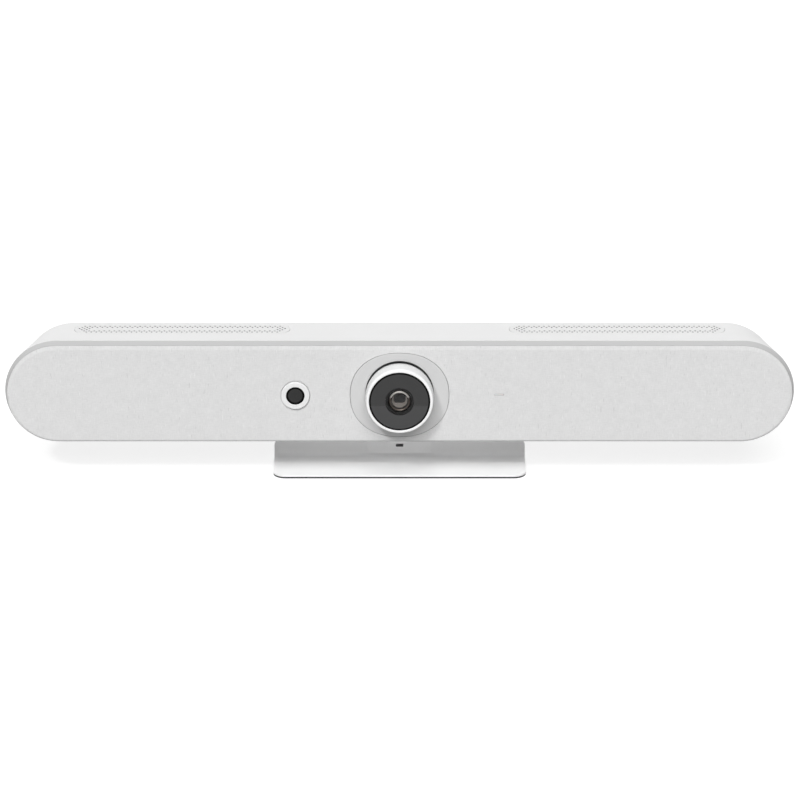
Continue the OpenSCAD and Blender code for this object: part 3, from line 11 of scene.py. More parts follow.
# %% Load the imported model
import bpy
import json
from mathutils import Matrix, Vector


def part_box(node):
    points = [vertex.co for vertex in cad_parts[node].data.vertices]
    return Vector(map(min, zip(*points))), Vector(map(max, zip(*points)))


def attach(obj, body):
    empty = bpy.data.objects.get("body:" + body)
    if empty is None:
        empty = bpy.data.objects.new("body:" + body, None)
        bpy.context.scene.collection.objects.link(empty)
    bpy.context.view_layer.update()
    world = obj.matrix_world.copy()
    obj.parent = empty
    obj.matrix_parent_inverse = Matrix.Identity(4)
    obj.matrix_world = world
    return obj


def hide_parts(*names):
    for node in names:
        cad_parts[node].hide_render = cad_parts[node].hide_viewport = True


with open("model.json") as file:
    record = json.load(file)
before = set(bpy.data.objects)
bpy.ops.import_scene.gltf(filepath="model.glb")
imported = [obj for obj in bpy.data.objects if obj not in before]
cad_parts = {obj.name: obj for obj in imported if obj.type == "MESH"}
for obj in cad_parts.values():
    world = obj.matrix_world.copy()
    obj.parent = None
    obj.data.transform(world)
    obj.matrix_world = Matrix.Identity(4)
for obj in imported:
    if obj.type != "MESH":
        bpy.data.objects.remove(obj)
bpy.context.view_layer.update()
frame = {"nodes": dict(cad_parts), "record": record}

# %% Modules of Blender and Python
import json
import math

import bmesh
import bpy
from mathutils import Matrix, Vector

# %% [markdown]
# ## One way to name a place
#
# A maker's drawing of this bar counts from the middle of its front rim: x to the right, y to the back and z
# up, in millimetres. Blender counts in metres from a point on the table. One small function turns the first
# into the second, so that every number below can be read off the drawing. Its two offsets are read from the
# housing's own solid, which starts at the rim and is as high above the bar's middle as below it.

# %% Millimetres on the drawing to metres in the frame
MM = 0.001
shell_low, shell_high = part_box("rear_shell")
RIM_DEPTH = shell_low.y
AXIS_HEIGHT = (shell_low.z + shell_high.z) / 2


def at(x, y, z):
    """A place on the drawing, in millimetres, as a place in the frame."""
    return Vector((x * MM, y * MM + RIM_DEPTH, z * MM + AXIS_HEIGHT))


print("rim at depth", round(RIM_DEPTH, 5), "and the bar's middle", round(AXIS_HEIGHT, 5), "above the table")

# %% [markdown]
# ## Outlines
#
# Nearly every moulding here is a stack of outlines: bars with round ends, circles, an oval and rounded
# rectangles. All of them can be had from one circle of points. Each point of a unit circle has a direction,
# and a shape says where a point with that direction goes. Because every outline has its points in the same
# order, one ring of edges can be extruded into the next without a twist. The circle is turned by half a step,
# so that no point lies on an axis and a bar's round ends can be pulled apart.

# %% Shapes that turn a direction into a place on an outline
def circle(r, x=0.0, z=0.0):
    return lambda c, s: (x + r * c, z + r * s)


def bar(w, h, x=0.0, z=0.0):
    """A bar with round ends."""
    return lambda c, s: (x + math.copysign((w - h) / 2, c) + h / 2 * c, z + h / 2 * s)


def panel(w, h, r, x=0.0, z=0.0):
    """A rectangle with rounded corners."""
    return lambda c, s: (x + math.copysign(w / 2 - r, c) + r * c, z + math.copysign(h / 2 - r, s) + r * s)


def oval(w, h, z=0.0, power=2.2):
    """A full oval: a power of 2 is an ellipse, and more of it is squarer."""
    def place(c, s):
        return (math.copysign(abs(c) ** (2 / power), c) * w / 2, z + math.copysign(abs(s) ** (2 / power), s) * h / 2)
    return place


def hexagon(across, x=0.0, z=0.0):
    """A hexagon of a given size across its flats."""
    def place(c, s):
        turn = math.atan2(s, c) % (math.pi / 3) - math.pi / 6
        reach = across / 2 / math.cos(turn)
        return (x + reach * c, z + reach * s)
    return place


def between(first, second, share):
    """A shape that lies a share of the way from the first to the second."""
    def place(c, s):
        (x0, z0), (x1, z1) = first(c, s), second(c, s)
        return (x0 + (x1 - x0) * share, z0 + (z1 - z0) * share)
    return place


# %% Stacks of outlines, extruded into a skin
def seen_from_front(u, v, level):
    return at(u, level, v)


def seen_from_above(u, v, level):
    return at(u, v, level)


def stack(bm, levels, view=seen_from_front, sides=96, caps=(True, True), closed=False, turn=0.5):
    """Extrudes a ring through (shape, level) pairs. Gives the edges of its first and its last outline."""
    start = Matrix.Rotation(turn * 2 * math.pi / sides, 4, "Z")
    ring = bmesh.ops.create_circle(bm, cap_ends=False, segments=sides, radius=1, matrix=start)["verts"]
    ways = {point: (point.co.x, point.co.y) for point in ring}
    edges = first = list(dict.fromkeys(edge for point in ring for edge in point.link_edges))
    for step, (shape, level) in enumerate(list(levels) + (levels[:1] if closed else [])):
        if step:
            made = bmesh.ops.extrude_edge_only(bm, edges=edges)["geom"]
            new = [item for item in made if isinstance(item, bmesh.types.BMVert)]
            edges = [item for item in made if isinstance(item, bmesh.types.BMEdge)
                     and item.verts[0] not in ways and item.verts[1] not in ways]
            ways = {point: next(ways[edge.other_vert(point)] for edge in point.link_edges
                                if edge.other_vert(point) in ways) for point in new}
        for point, way in ways.items():
            point.co = view(*shape(*way), level)
    for outline, cap in zip((first, edges), caps):
        if cap and not closed:
            bmesh.ops.contextual_create(bm, geom=outline)
    return first, edges


# %% [markdown]
# ## Turned forms
#
# Balls, rings and lenses are turned forms. A maker draws half of their section, and so does this script:
# a few points of (radius, depth) that are spun about an axis. Seen as operators, it is a chain of edges and
# one full spin that merges its seam. Points on the axis fall together in a pole, so doubles are merged and
# the faces are made to point outwards before anything else happens.

# %% A half section spun about an axis that points to the back
def turned(bm, section, x=0.0, z=0.0, steps=96, closed=True):
    """Spins (radius, depth) points. A closed section makes a ring, an open one runs from axis to axis."""
    points = [bm.verts.new(at(x + r, y, z)) for r, y in section]
    chain = list(zip(points, points[1:])) + ([(points[-1], points[0])] if closed else [])
    edges = [bm.edges.new(pair) for pair in chain]
    bmesh.ops.spin(bm, geom=points + edges, cent=at(x, 0, z), axis=(0, 1, 0), dvec=(0, 0, 0),
                   angle=2 * math.pi, steps=steps, use_merge=True, use_duplicate=False)


def arc(radius_at, depth_at, r, start, end, steps=6):
    """Points of a rounded edge in a section, by angles in degrees from the outward direction."""
    angles = [math.radians(start + (end - start) * i / steps) for i in range(steps + 1)]
    return [(radius_at + r * math.cos(a), depth_at + r * math.sin(a)) for a in angles]


# %% [markdown]
# ## From a bmesh to a piece
#
# Moulded, turned and bent pieces never have knife edges, and it is the light along a rounded edge that makes
# a render look real. Sharp edges are found by the angle between their faces and bevelled in the mesh. Cuts
# are made the way a mill makes them, by taking one solid away from another with an exact Boolean.

# %% Bevels, cuts and objects
def soften(bm, width, segments=3, above=30):
    """Bevels every edge whose faces meet at more than an angle."""
    bmesh.ops.remove_doubles(bm, verts=bm.verts, dist=MM / 1000)
    sharp = [e for e in bm.edges if e.is_manifold and e.calc_face_angle(0) > math.radians(above)]
    bmesh.ops.bevel(bm, geom=sharp, offset=width * MM, offset_type="OFFSET", segments=segments,
                    profile=0.5, affect="EDGES", clamp_overlap=True, material=-1)


def as_object(bm, name):
    """Makes the bmesh an object, with its doubles merged and its faces outwards."""
    bmesh.ops.remove_doubles(bm, verts=bm.verts, dist=MM / 1000)
    bmesh.ops.recalc_face_normals(bm, faces=bm.faces)
    if bm.calc_volume(signed=True) < 0:
        bmesh.ops.reverse_faces(bm, faces=bm.faces)
    mesh = bpy.data.meshes.new(name)
    bm.to_mesh(mesh)
    bm.free()
    made = bpy.data.objects.new(name, mesh)
    bpy.context.scene.collection.objects.link(made)
    return made


def finished_mesh(piece):
    """Puts what the piece's modifiers make into its mesh."""
    graph = bpy.context.evaluated_depsgraph_get()
    mesh = bpy.data.meshes.new_from_object(piece.evaluated_get(graph), depsgraph=graph)
    piece.modifiers.clear()
    piece.data = mesh


def carve(piece, tools):
    """Adds or takes away other solids, each given as (operation, bmesh), and drops them."""
    used = []
    for operation, bm in tools:
        tool = as_object(bm, piece.name + "_tool")
        step = piece.modifiers.new(operation.lower(), "BOOLEAN")
        step.operation, step.solver, step.object = operation, "EXACT", tool
        used.append(tool)
    finished_mesh(piece)
    for tool in used:
        bpy.data.objects.remove(tool)


def dress(piece, finish, body, slot, *nodes, sharp_above=32, edge=0.0):
    """Smooths a piece, paints it, fastens it to its body and puts it in the place of its solids."""
    piece.data.materials.clear()
    piece.data.materials.append(finish)
    if edge:
        rounding = piece.modifiers.new("rounding", "BEVEL")
        rounding.width, rounding.segments = edge * MM, 3
        rounding.limit_method, rounding.angle_limit = "ANGLE", math.radians(40)
    piece.data.shade_smooth()
    piece.data.set_sharp_from_angle(angle=math.radians(sharp_above))
    weights = piece.modifiers.new("even shading", "WEIGHTED_NORMAL")
    weights.keep_sharp = True
    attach(piece, body)
    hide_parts(*nodes)
    print(f"{piece.name}: {len(piece.data.polygons)} faces, for {', '.join(nodes)}")
    return piece


# %% [markdown]
# # Finishes
#
# Each finish starts from what the material is and how its surface was made. Colours are written as they
# look on a screen, in sRGB hex, and one function turns them into the linear values that a shader adds up.
# Another small function adds any node, sets what it is told and links what it is given.

# %% Colour, node and scale helpers
def linear(code):
    """An sRGB colour such as "#dcdcdc" as the linear colour of a shader."""
    parts = [int(code[i:i + 2], 16) / 255 for i in (1, 3, 5)]
    return [c / 12.92 if c <= 0.04045 else ((c + 0.055) / 1.055) ** 2.4 for c in parts] + [1.0]


def add(tree, kind, inputs=None, **settings):
    """Adds a node. An input that is a socket is linked, and any other is set."""
    node = tree.nodes.new(kind)
    for name, value in settings.items():
        setattr(node, name, value)
    for name, value in (inputs or {}).items():
        if isinstance(value, bpy.types.NodeSocket):
            tree.links.new(value, node.inputs[name])
        else:
            node.inputs[name].default_value = value
    return node


def per(size):
    """The scale of a noise whose lumps are this many millimetres wide."""
    return 1 / (size * MM)


def new_finish(name, code, roughness, **sockets):
    """A material with one Principled shader. Gives it with its tree, its shader and the object's own coordinates."""
    made = bpy.data.materials.new(name)
    made.use_nodes = True
    tree = made.node_tree
    tree.nodes.clear()
    named = {key.replace("_", " "): value for key, value in sockets.items()}
    surface = add(tree, "ShaderNodeBsdfPrincipled",
                  {"Base Color": linear(code), "Roughness": roughness, **named})
    add(tree, "ShaderNodeOutputMaterial", {"Surface": surface.outputs[0]})
    place = add(tree, "ShaderNodeTexCoord").outputs["Object"]
    return made, tree, surface, place


def blend_colours(tree, share, first, second):
    """A colour that goes from one hex colour to another by a share."""
    ends = [value if isinstance(value, bpy.types.NodeSocket) else linear(value) for value in (first, second)]
    return add(tree, "ShaderNodeMix", {0: share, 6: ends[0], 7: ends[1]}, data_type="RGBA").outputs[2]


def bumped(tree, surface, height, depth, under=None):
    """Raises the surface by a height of so many millimetres."""
    inputs = {"Height": height, "Strength": 1.0, "Distance": depth * MM}
    if under:
        inputs["Normal"] = under
    bump = add(tree, "ShaderNodeBump", inputs).outputs[0]
    tree.links.new(bump, surface.inputs["Normal"])
    return bump


def spread(tree, value, low, high, new_low, new_high):
    """Stretches one range of a value over another."""
    return add(tree, "ShaderNodeMapRange", {0: value, 1: low, 2: high, 3: new_low, 4: new_high}).outputs[0]


# %% [markdown]
# ## Moulded plastic
#
# The housing is ABS, moulded in a tool whose wall was eroded by sparks. That leaves a matt skin of shallow
# pits, about half a millimetre apart, which spreads the light. Handling and the flow of the melt leave very
# wide and faint changes of tone. A fine noise makes the pits and a wide one the tone, and the roughness
# follows both a little. The ball is polished in its tool, so its pits are finer and it shines more.

# %% Moulded plastic, from matt to polished
def moulded(name, code, roughness, pit=0.5, depth=0.006, tone=0.03, **sockets):
    made, tree, surface, place = new_finish(name, code, roughness, **sockets)
    pits = add(tree, "ShaderNodeTexNoise", {"Vector": place, "Scale": per(pit), "Detail": 3.0,
                                            "Roughness": 0.6}).outputs[0]
    flow = add(tree, "ShaderNodeTexNoise", {"Vector": place, "Scale": per(60), "Detail": 2.0}).outputs[0]
    shade = spread(tree, flow, 0.3, 0.7, 1 - tone, 1.0)
    colour = add(tree, "ShaderNodeMix", {0: 1.0, 6: linear(code), 7: shade}, data_type="RGBA",
                 blend_type="MULTIPLY").outputs[2]
    tree.links.new(colour, surface.inputs["Base Color"])
    tree.links.new(spread(tree, pits, 0.3, 0.7, roughness - 0.05, roughness + 0.05), surface.inputs["Roughness"])
    bumped(tree, surface, pits, depth)
    return made


finishes = {
    "white_housing": moulded("moulded_white_abs", "#dedede", 0.5, tone=0.025),
    "white_vent": moulded("moulded_white_vent_abs_painted_hole_shade", "#dcdcdc", 0.52, tone=0.02),
    "grey_frame": moulded("moulded_grey_abs", "#b8b8b8", 0.5, tone=0.02),
    "grey_panel": moulded("moulded_dark_grey_abs", "#8a8a8b", 0.6),
    "trim_plastic": moulded("moulded_trim_abs", "#cfcfcf", 0.48, pit=0.4, tone=0.015),
    "turret_plastic": moulded("polished_white_polycarbonate", "#f7f7f7", 0.3, pit=0.3, depth=0.0015, tone=0.01),
    # A darker copy of the white polycarbonate, for the ball and the small camera's ring: painted shade.
    "shaded_turret_plastic": moulded("polished_white_polycarbonate_painted_shade", "#e7e7e7", 0.3, pit=0.3, depth=0.0015, tone=0.01),
    "dark_plastic": moulded("moulded_black_abs", "#191919", 0.5, tone=0.1),
    "cone_paper": moulded("coated_black_paper", "#2b2b2c", 0.75, pit=1.2, depth=0.03, tone=0.15),
    "surround_rubber": moulded("moulded_black_rubber", "#1a1a1a", 0.62, pit=0.8, depth=0.01, tone=0.12),
    "foot_rubber": moulded("moulded_grey_rubber", "#3a3a3a", 0.72, pit=0.7, depth=0.02, tone=0.12),
    "light_diffuser": moulded("milky_acrylic", "#dadada", 0.3, pit=0.6, depth=0.002, tone=0.02,
                              Subsurface_Weight=0.15, Subsurface_Scale=0.002),
}
print(len(finishes), "moulded finishes")

# %% [markdown]
# Some finishes change with height. The small holes of the vents are painted darker below the vent's face:
# painted shade inside the holes. One function finds the colour that a finish has and blends it into another
# one between two heights. It reads the object's own coordinates, so the change stays where it is on the piece.

# %% A finish that changes with height
def graded(made, high, low, code):
    """Blends a finish into another colour, from a height down to a lower one."""
    tree = made.node_tree
    surface = next(node for node in tree.nodes if node.type == "BSDF_PRINCIPLED")
    colour = surface.inputs["Base Color"].links[0].from_socket
    place = add(tree, "ShaderNodeTexCoord").outputs["Object"]
    height = add(tree, "ShaderNodeSeparateXYZ", {0: place}).outputs[2]
    share = spread(tree, height, low, high, 1.0, 0.0)
    tree.links.new(blend_colours(tree, share, colour, code), surface.inputs["Base Color"])


vent_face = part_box("vent_grille_left")[1].z
# Painted shade: the vent's holes turn dark grey below its face.
graded(finishes["white_vent"], vent_face - 0.1 * MM, vent_face - 0.35 * MM, "#585858")

# %% [markdown]
# ## Paint and metal
#
# Powder paint flows as it is baked, and sets in a low orange peel of lumps about a millimetre wide. Cast,
# turned and rolled metals differ in what the tool leaves: grains, rings or fine lines in one direction.
# A noise that is squeezed along one axis draws such lines, and the metal's colour is its reflection, so
# its roughness does most of the work.

# %% Powder paint on sheet metal
def painted(name, code, roughness, peel=1.1, depth=0.01, metallic=0.0):
    made, tree, surface, place = new_finish(name, code, roughness, Metallic=metallic)
    lumps = add(tree, "ShaderNodeTexNoise", {"Vector": place, "Scale": per(peel), "Detail": 1.5}).outputs[0]
    dust = add(tree, "ShaderNodeTexNoise", {"Vector": place, "Scale": per(35), "Detail": 3.0}).outputs[0]
    shade = spread(tree, dust, 0.3, 0.7, 0.97, 1.0)
    colour = add(tree, "ShaderNodeMix", {0: 1.0, 6: linear(code), 7: shade}, data_type="RGBA",
                 blend_type="MULTIPLY").outputs[2]
    tree.links.new(colour, surface.inputs["Base Color"])
    bumped(tree, surface, lumps, depth)
    return made


finishes["stand_paint"] = painted("powder_painted_white_sheet", "#fafafa", 0.42)
finishes["socket_paint"] = painted("satin_dark_grey_paint", "#3b3d40", 0.45)
finishes["basket_paint"] = painted("satin_black_basket_paint", "#33363a", 0.42)


# %% Bare and plated metals
def metal(name, code, roughness, line=0.25, stretch=(1.0, 1.0, 1.0), depth=0.002):
    """A metal with lines this many millimetres apart, drawn out along the axes with a low stretch."""
    made, tree, surface, place = new_finish(name, code, roughness, Metallic=1.0)
    drawn = add(tree, "ShaderNodeMapping", {"Vector": place, "Scale": stretch}).outputs[0]
    lines = add(tree, "ShaderNodeTexNoise", {"Vector": drawn, "Scale": per(line), "Detail": 3.0}).outputs[0]
    tarnish = add(tree, "ShaderNodeTexNoise", {"Vector": place, "Scale": per(9), "Detail": 3.0}).outputs[0]
    shade = spread(tree, tarnish, 0.3, 0.75, 0.86, 1.0)
    colour = add(tree, "ShaderNodeMix", {0: 1.0, 6: linear(code), 7: shade}, data_type="RGBA",
                 blend_type="MULTIPLY").outputs[2]
    tree.links.new(colour, surface.inputs["Base Color"])
    tree.links.new(spread(tree, lines, 0.3, 0.7, roughness - 0.08, roughness + 0.08), surface.inputs["Roughness"])
    bumped(tree, surface, lines, depth)
    return made


finishes["bare_alloy"] = metal("machined_aluminium", "#cfd1d3", 0.34)
finishes["dark_alloy"] = metal("black_anodised_aluminium", "#2a2a2c", 0.38)
finishes["bearing_bronze"] = metal("turned_brass", "#c8a45c", 0.28)
finishes["steel"] = metal("nickel_plated_steel", "#b9bbbe", 0.26)
finishes["sheet_steel"] = metal("zinc_plated_sheet", "#b6b9bc", 0.4, line=0.3, stretch=(0.05, 1.0, 1.0))
finishes["magnet_iron"] = metal("phosphated_iron", "#4b4d50", 0.55, line=0.6, depth=0.01)
finishes["microphone_can"] = metal("gold_flashed_can", "#d2b878", 0.3)
print("metals and paints make", len(finishes), "finishes")


# %% [markdown]
# ## Circuit boards and windings
#
# A board is glass cloth under green solder mask. Copper tracks raise the mask a little and show as paler
# lines, on a grid of about a millimetre and a half, which a brick pattern draws well enough inside a closed
# housing. A motor's winding is enamelled wire of about 0.4 mm, laid side by side, so rings of a wave draw it.

# %% Solder mask with tracks, and enamelled wire
def circuit_board():
    made, tree, surface, place = new_finish("green_solder_mask", "#1b5e3a", 0.35)
    tracks = add(tree, "ShaderNodeTexBrick", {"Vector": add(tree, "ShaderNodeMapping", {
        "Vector": place, "Rotation": (math.radians(90), 0, 0)}).outputs[0],
        "Scale": per(1), "Color1": linear("#1b5e3a"), "Color2": linear("#1f6a42"), "Mortar": linear("#3f8a5c"),
        "Mortar Size": 0.12, "Brick Width": 6.0, "Row Height": 1.5}, offset=0.5)
    tree.links.new(tracks.outputs[0], surface.inputs["Base Color"])
    bumped(tree, surface, tracks.outputs[1], 0.03)
    return made


def winding():
    made, tree, surface, place = new_finish("enamelled_copper_wire", "#8a4a26", 0.3, Metallic=0.9)
    wires = add(tree, "ShaderNodeTexWave", {"Vector": place, "Scale": 0.314 / (0.4 * MM), "Distortion": 0.4},
                bands_direction="X").outputs[1]
    tree.links.new(blend_colours(tree, wires, "#5e2d16", "#a8633a"), surface.inputs["Base Color"])
    bumped(tree, surface, wires, 0.1)
    return made


finishes["circuit_board"] = circuit_board()
finishes["motor_winding"] = winding()

# %% [markdown]
# ## The woven cloth
#
# The front is covered with a plain weave of polyester yarn, spun from light and slightly darker fibres.
# From a few metres away the weave itself can't be seen: what is left is a fine mottle with small pale and
# dark flecks. A real thread is about 0.35 mm wide, which is too fine for this picture, so the weave is drawn
# with threads 0.8 mm apart. Two waves at right angles, one for each set of threads, raise the surface in
# turn. Long narrow lumps of noise along each thread give the yarn its changing tone.

# %% Plain weave of mottled yarn
THREAD = 0.8


def woven():
    made, tree, surface, place = new_finish("plain_woven_polyester", "#dadada", 0.85, Sheen_Weight=0.12,
                                            Sheen_Roughness=0.5)
    along_x = add(tree, "ShaderNodeMapping", {"Vector": place, "Scale": (0.16, 1.0, 1.0)}).outputs[0]
    along_z = add(tree, "ShaderNodeMapping", {"Vector": place, "Scale": (1.0, 1.0, 0.16)}).outputs[0]
    yarns = [add(tree, "ShaderNodeTexNoise", {"Vector": way, "Scale": per(THREAD), "Detail": 2.0}).outputs[0]
             for way in (along_x, along_z)]
    yarn = add(tree, "ShaderNodeMath", {0: yarns[0], 1: yarns[1]}, operation="ADD").outputs[0]
    mottle = add(tree, "ShaderNodeTexNoise", {"Vector": place, "Scale": per(7), "Detail": 4.0,
                                              "Roughness": 0.65}).outputs[0]
    flecks = add(tree, "ShaderNodeTexNoise", {"Vector": along_z, "Scale": per(1.3), "Detail": 1.0}).outputs[0]
    colour = blend_colours(tree, spread(tree, yarn, 0.7, 1.3, 0.0, 1.0), "#d6d6d6", "#dfdfdf")
    colour = add(tree, "ShaderNodeMix", {0: 1.0, 6: colour, 7: spread(tree, mottle, 0.35, 0.65, 0.975, 1.015)},
                 data_type="RGBA", blend_type="MULTIPLY").outputs[2]
    colour = blend_colours(tree, spread(tree, flecks, 0.68, 0.76, 0.0, 0.5), colour, "#ededed")
    colour = blend_colours(tree, spread(tree, flecks, 0.31, 0.24, 0.0, 0.45), colour, "#b6b6b6")
    tree.links.new(colour, surface.inputs["Base Color"])
    waves = [add(tree, "ShaderNodeTexWave", {"Vector": place, "Scale": 0.314 / (THREAD * MM), "Distortion": 0.6,
                                             "Detail": 1.0}, bands_direction=way).outputs[1] for way in "XZ"]
    weave = add(tree, "ShaderNodeMath", {0: waves[0], 1: waves[1]}, operation="MAXIMUM").outputs[0]
    bumped(tree, surface, weave, 0.05)
    return made


finishes["grey_fabric"] = woven()
print("weave drawn with threads", THREAD, "mm apart")

# %% [markdown]
# ## Glass
#
# The window of the ball is toughened glass with a smoked coat at its back and a black printed border. Its
# face is polished, so its grey comes from what it reflects and hardly from its colour. The lens and its
# little window are thin and coated against reflections, and light goes straight through them. Full
# refraction could draw that too, but lamps hardly light what lies behind a refracting piece. A low alpha
# lets the light in and still leaves the pane a weak mirror. Dust and wiping change the roughness a little.
# Two more finishes change with height, and both are painted light: the face is a shade paler in its lower
# part, a painted reflection of the floor, and the ring that holds the lens is bright above and dark below, a
# painted reflection of the lamps.

# %% Smoked, printed and coated glass
def glass(name, code, roughness, ior, alpha=1.0):
    """Glass that lets through what its alpha leaves, as a thin coated pane does."""
    made, tree, surface, place = new_finish(name, code, roughness, IOR=ior, Alpha=alpha)
    wiped = add(tree, "ShaderNodeTexNoise", {"Vector": place, "Scale": per(12), "Detail": 4.0}).outputs[0]
    tree.links.new(spread(tree, wiped, 0.3, 0.7, roughness, roughness + 0.03), surface.inputs["Roughness"])
    tree.links.new(blend_colours(tree, spread(tree, wiped, 0.3, 0.7, 0.0, 0.12), code, "#30302f"),
                   surface.inputs["Base Color"])
    return made


finishes["black_glass"] = glass("smoked_glass", "#161617", 0.03, 1.55)
finishes["printed_border"] = glass("black_printed_glass", "#050505", 0.12, 1.12)
finishes["clear_glass"] = glass("coated_clear_glass", "#101010", 0.02, 1.3, alpha=0.07)
finishes["lens_glass"] = glass("coated_lens_glass", "#15110f", 0.03, 1.6, alpha=0.28)
finishes["eye_glass"] = glass("coated_eye_glass", "#121212", 0.05, 1.42)
finishes["face_glass"] = glass("smoked_glass_painted_reflection_below", "#121213", 0.03, 1.55)
finishes["holder_alloy"] = metal("ring_alloy_painted_highlight_above", "#cbc7c2", 0.42)
finishes["baffle_plastic"] = moulded("moulded_brown_grey_baffle", "#e0d6cd", 0.5, pit=0.3)
# Painted reflection: the face is paler below, where it would mirror the floor.
graded(finishes["face_glass"], AXIS_HEIGHT - 3.4 * MM, AXIS_HEIGHT - 4.6 * MM, "#2b2b2c")
# Painted highlight: the ring is bright above, where it would mirror the lamps, and painted dark below.
graded(finishes["holder_alloy"], AXIS_HEIGHT + 4.2 * MM, AXIS_HEIGHT + 2.6 * MM, "#544d48")
print(len(finishes), "finishes in all")

# %% Every solid gets the finish of its slot in the record
for part in frame["record"]["subparts"]:
    node = frame["nodes"][part["node"]]
    if not node.material_slots:
        node.data.materials.append(None)
    for holder in node.material_slots:
        holder.material = finishes[part["material_slot"]]

# %% [markdown]
# # The housing
#
# The housing is one injection-moulded shell, open at the front. Seen from the front it is a bar with round
# ends. Towards the back its ends draw in by 13 mm, so that it leaves its mould, and a fillet of 12 mm runs
# round the back. It could be made from a cube with bevels, but a stack of outlines gives the draw, the
# fillet and an even wall in one go: the outlines run up the inside, round the front edge and down the
# outside. Bosses are then added inside, and the vents, the socket bay and the holes are cut.

# %% Sizes of the housing, in millimetres
BODY_W, BODY_H, SHELL_D = 721.0, 97.0, 62.0
WALL, BACK_R, END_DRAW, TOP_DRAW = 2.6, 12.0, 13.0, 0.5
FLAT_D = SHELL_D - BACK_R
SEAM = 0.15


def housing_outline(depth, inset=0.0):
    """The housing's outline at a depth, drawn in by an inset."""
    share = min(depth, FLAT_D) / FLAT_D
    return bar(BODY_W - 2 * (inset + END_DRAW * share), BODY_H - 2 * (inset + TOP_DRAW * share))


def fillet_levels(inset, steps=12):
    """The outlines of the fillet round the back."""
    r = BACK_R - inset
    angles = [math.pi / 2 * i / steps for i in range(steps + 1)]
    return [(housing_outline(FLAT_D + r * math.sin(a), inset + r * (1 - math.cos(a))), FLAT_D + r * math.sin(a))
            for a in angles]


# %% The housing's skin
bm = bmesh.new()
inside = [(housing_outline(SEAM, WALL), SEAM)] + fillet_levels(WALL)
outside = [(housing_outline(SEAM, 2 * SEAM), SEAM), (housing_outline(3 * SEAM), 3 * SEAM)] + fillet_levels(0.0)
stack(bm, inside[::-1] + outside, sides=128)
housing = as_object(bm, "housing_moulding")
print("housing wall", WALL, "mm,", len(housing.data.vertices), "points")

# %% Bosses, posts and the walls of the socket bay
BAY_X, BAY_LOW, BAY_HIGH, BAY_D, BAY_RIM = 72.03, -34.0, -9.0, 14.0, 3.0
BAY_W, BAY_H, BAY_Z = 2 * BAY_X, BAY_HIGH - BAY_LOW, (BAY_HIGH + BAY_LOW) / 2
BUTTON_X, BUTTON_Z = 89.98, -21.5
INNER_D = SHELL_D - WALL
ROOT_D = INNER_D + WALL / 2
frame_screws = [(s * share * BODY_W / 2, up * 41.9) for share in (0.166, 0.5, 0.832) for s in (-1, 1) for up in (-1, 1)]
chassis_posts = [(sx * x, sz * 30.0) for x in (104.98, 180.03) for sx in (-1, 1) for sz in (-1, 1)]
box_posts = [(sb * 262.0 + sx * 34, sz * 27.0) for sb in (-1, 1) for sx in (-1, 1) for sz in (-1, 1)]
wall_inserts = [(sx * 120, sz * 25) for sx in (-1, 1) for sz in (-1, 1)]
stand_inserts = [(s * 20, y) for s in (-1, 1) for y in (22.0, 36.0)]


def pin(bm, r, start, end, x, z, view=seen_from_front, sides=32):
    """A round solid between two levels."""
    stack(bm, [(circle(r, x, z), start), (circle(r, x, z), end)], view=view, sides=sides)


bosses = bmesh.new()
for x, z in frame_screws:
    stack(bosses, [(panel(8, 9.4, 3.9, x, z + math.copysign(0.7, z)), level) for level in (3.0, 10.8)], sides=32)
for x, z in chassis_posts:
    pin(bosses, 4.0, 26.0, ROOT_D, x, z)
for x, z in box_posts:
    pin(bosses, 4.0, 50.0, ROOT_D, x, z)
for x, z in wall_inserts:
    pin(bosses, 5.5, 48.8, ROOT_D, x, z)
for x, y in stand_inserts:
    pin(bosses, 5.5, -48.4, -37.9, x, y, seen_from_above)
pin(bosses, 7.0, 50.4, ROOT_D, BUTTON_X, BUTTON_Z)
stack(bosses, [(panel(BAY_W + 2 * WALL, BAY_H + 2 * WALL, 2.0, 0, BAY_Z), level)
               for level in (SHELL_D - BAY_D - WALL, ROOT_D)], sides=32)
seat = bmesh.new()
stack(seat, [(panel(60, 34, 1.0, 0, 30.0), level) for level in (-BODY_H / 2, -46.2)], view=seen_from_above, sides=32)
print(len(frame_screws) + len(chassis_posts) + len(box_posts) + len(wall_inserts) + len(stand_inserts), "bosses")

# %% Holes, each with a small chamfer where it meets the outside
VENT_X, VENT_Y, VENT_L, VENT_W, VENT_TOP = 199.5, 33.0, 197.48, 27.0, 48.17
CHAMFER, SET_GAP = 0.35, 0.2


def bore(bm, levels, x, z, view=seen_from_front, sides=32):
    """A stepped round hole from (radius, level) pairs."""
    stack(bm, [(circle(r, x, z), level) for r, level in levels], view=view, sides=sides)


holes = bmesh.new()
for side in (-1, 1):
    steps = [(-4 + 2 * SET_GAP, 43.0), (-4 + 2 * SET_GAP, VENT_TOP - 1.2), (2 * SET_GAP, VENT_TOP - 1.2),
             (2 * SET_GAP, VENT_TOP - CHAMFER), (2 * SET_GAP + 2 * CHAMFER, VENT_TOP + 0.1),
             (2 * SET_GAP + 2 * CHAMFER, 51.0)]
    stack(holes, [(bar(VENT_L + more, VENT_W + more, side * VENT_X, VENT_Y), z) for more, z in steps],
          view=seen_from_above, sides=64)
floor_d, bay_inner = SHELL_D - BAY_D, SHELL_D - BAY_D - WALL
steps = [(-2 * BAY_RIM, bay_inner - 1), (-2 * BAY_RIM, floor_d), (0, floor_d), (0, SHELL_D - 0.8),
         (1.6, SHELL_D), (1.6, SHELL_D + 2)]
stack(holes, [(panel(BAY_W + more, BAY_H + more, 1.2, 0, BAY_Z), y) for more, y in steps], sides=32)
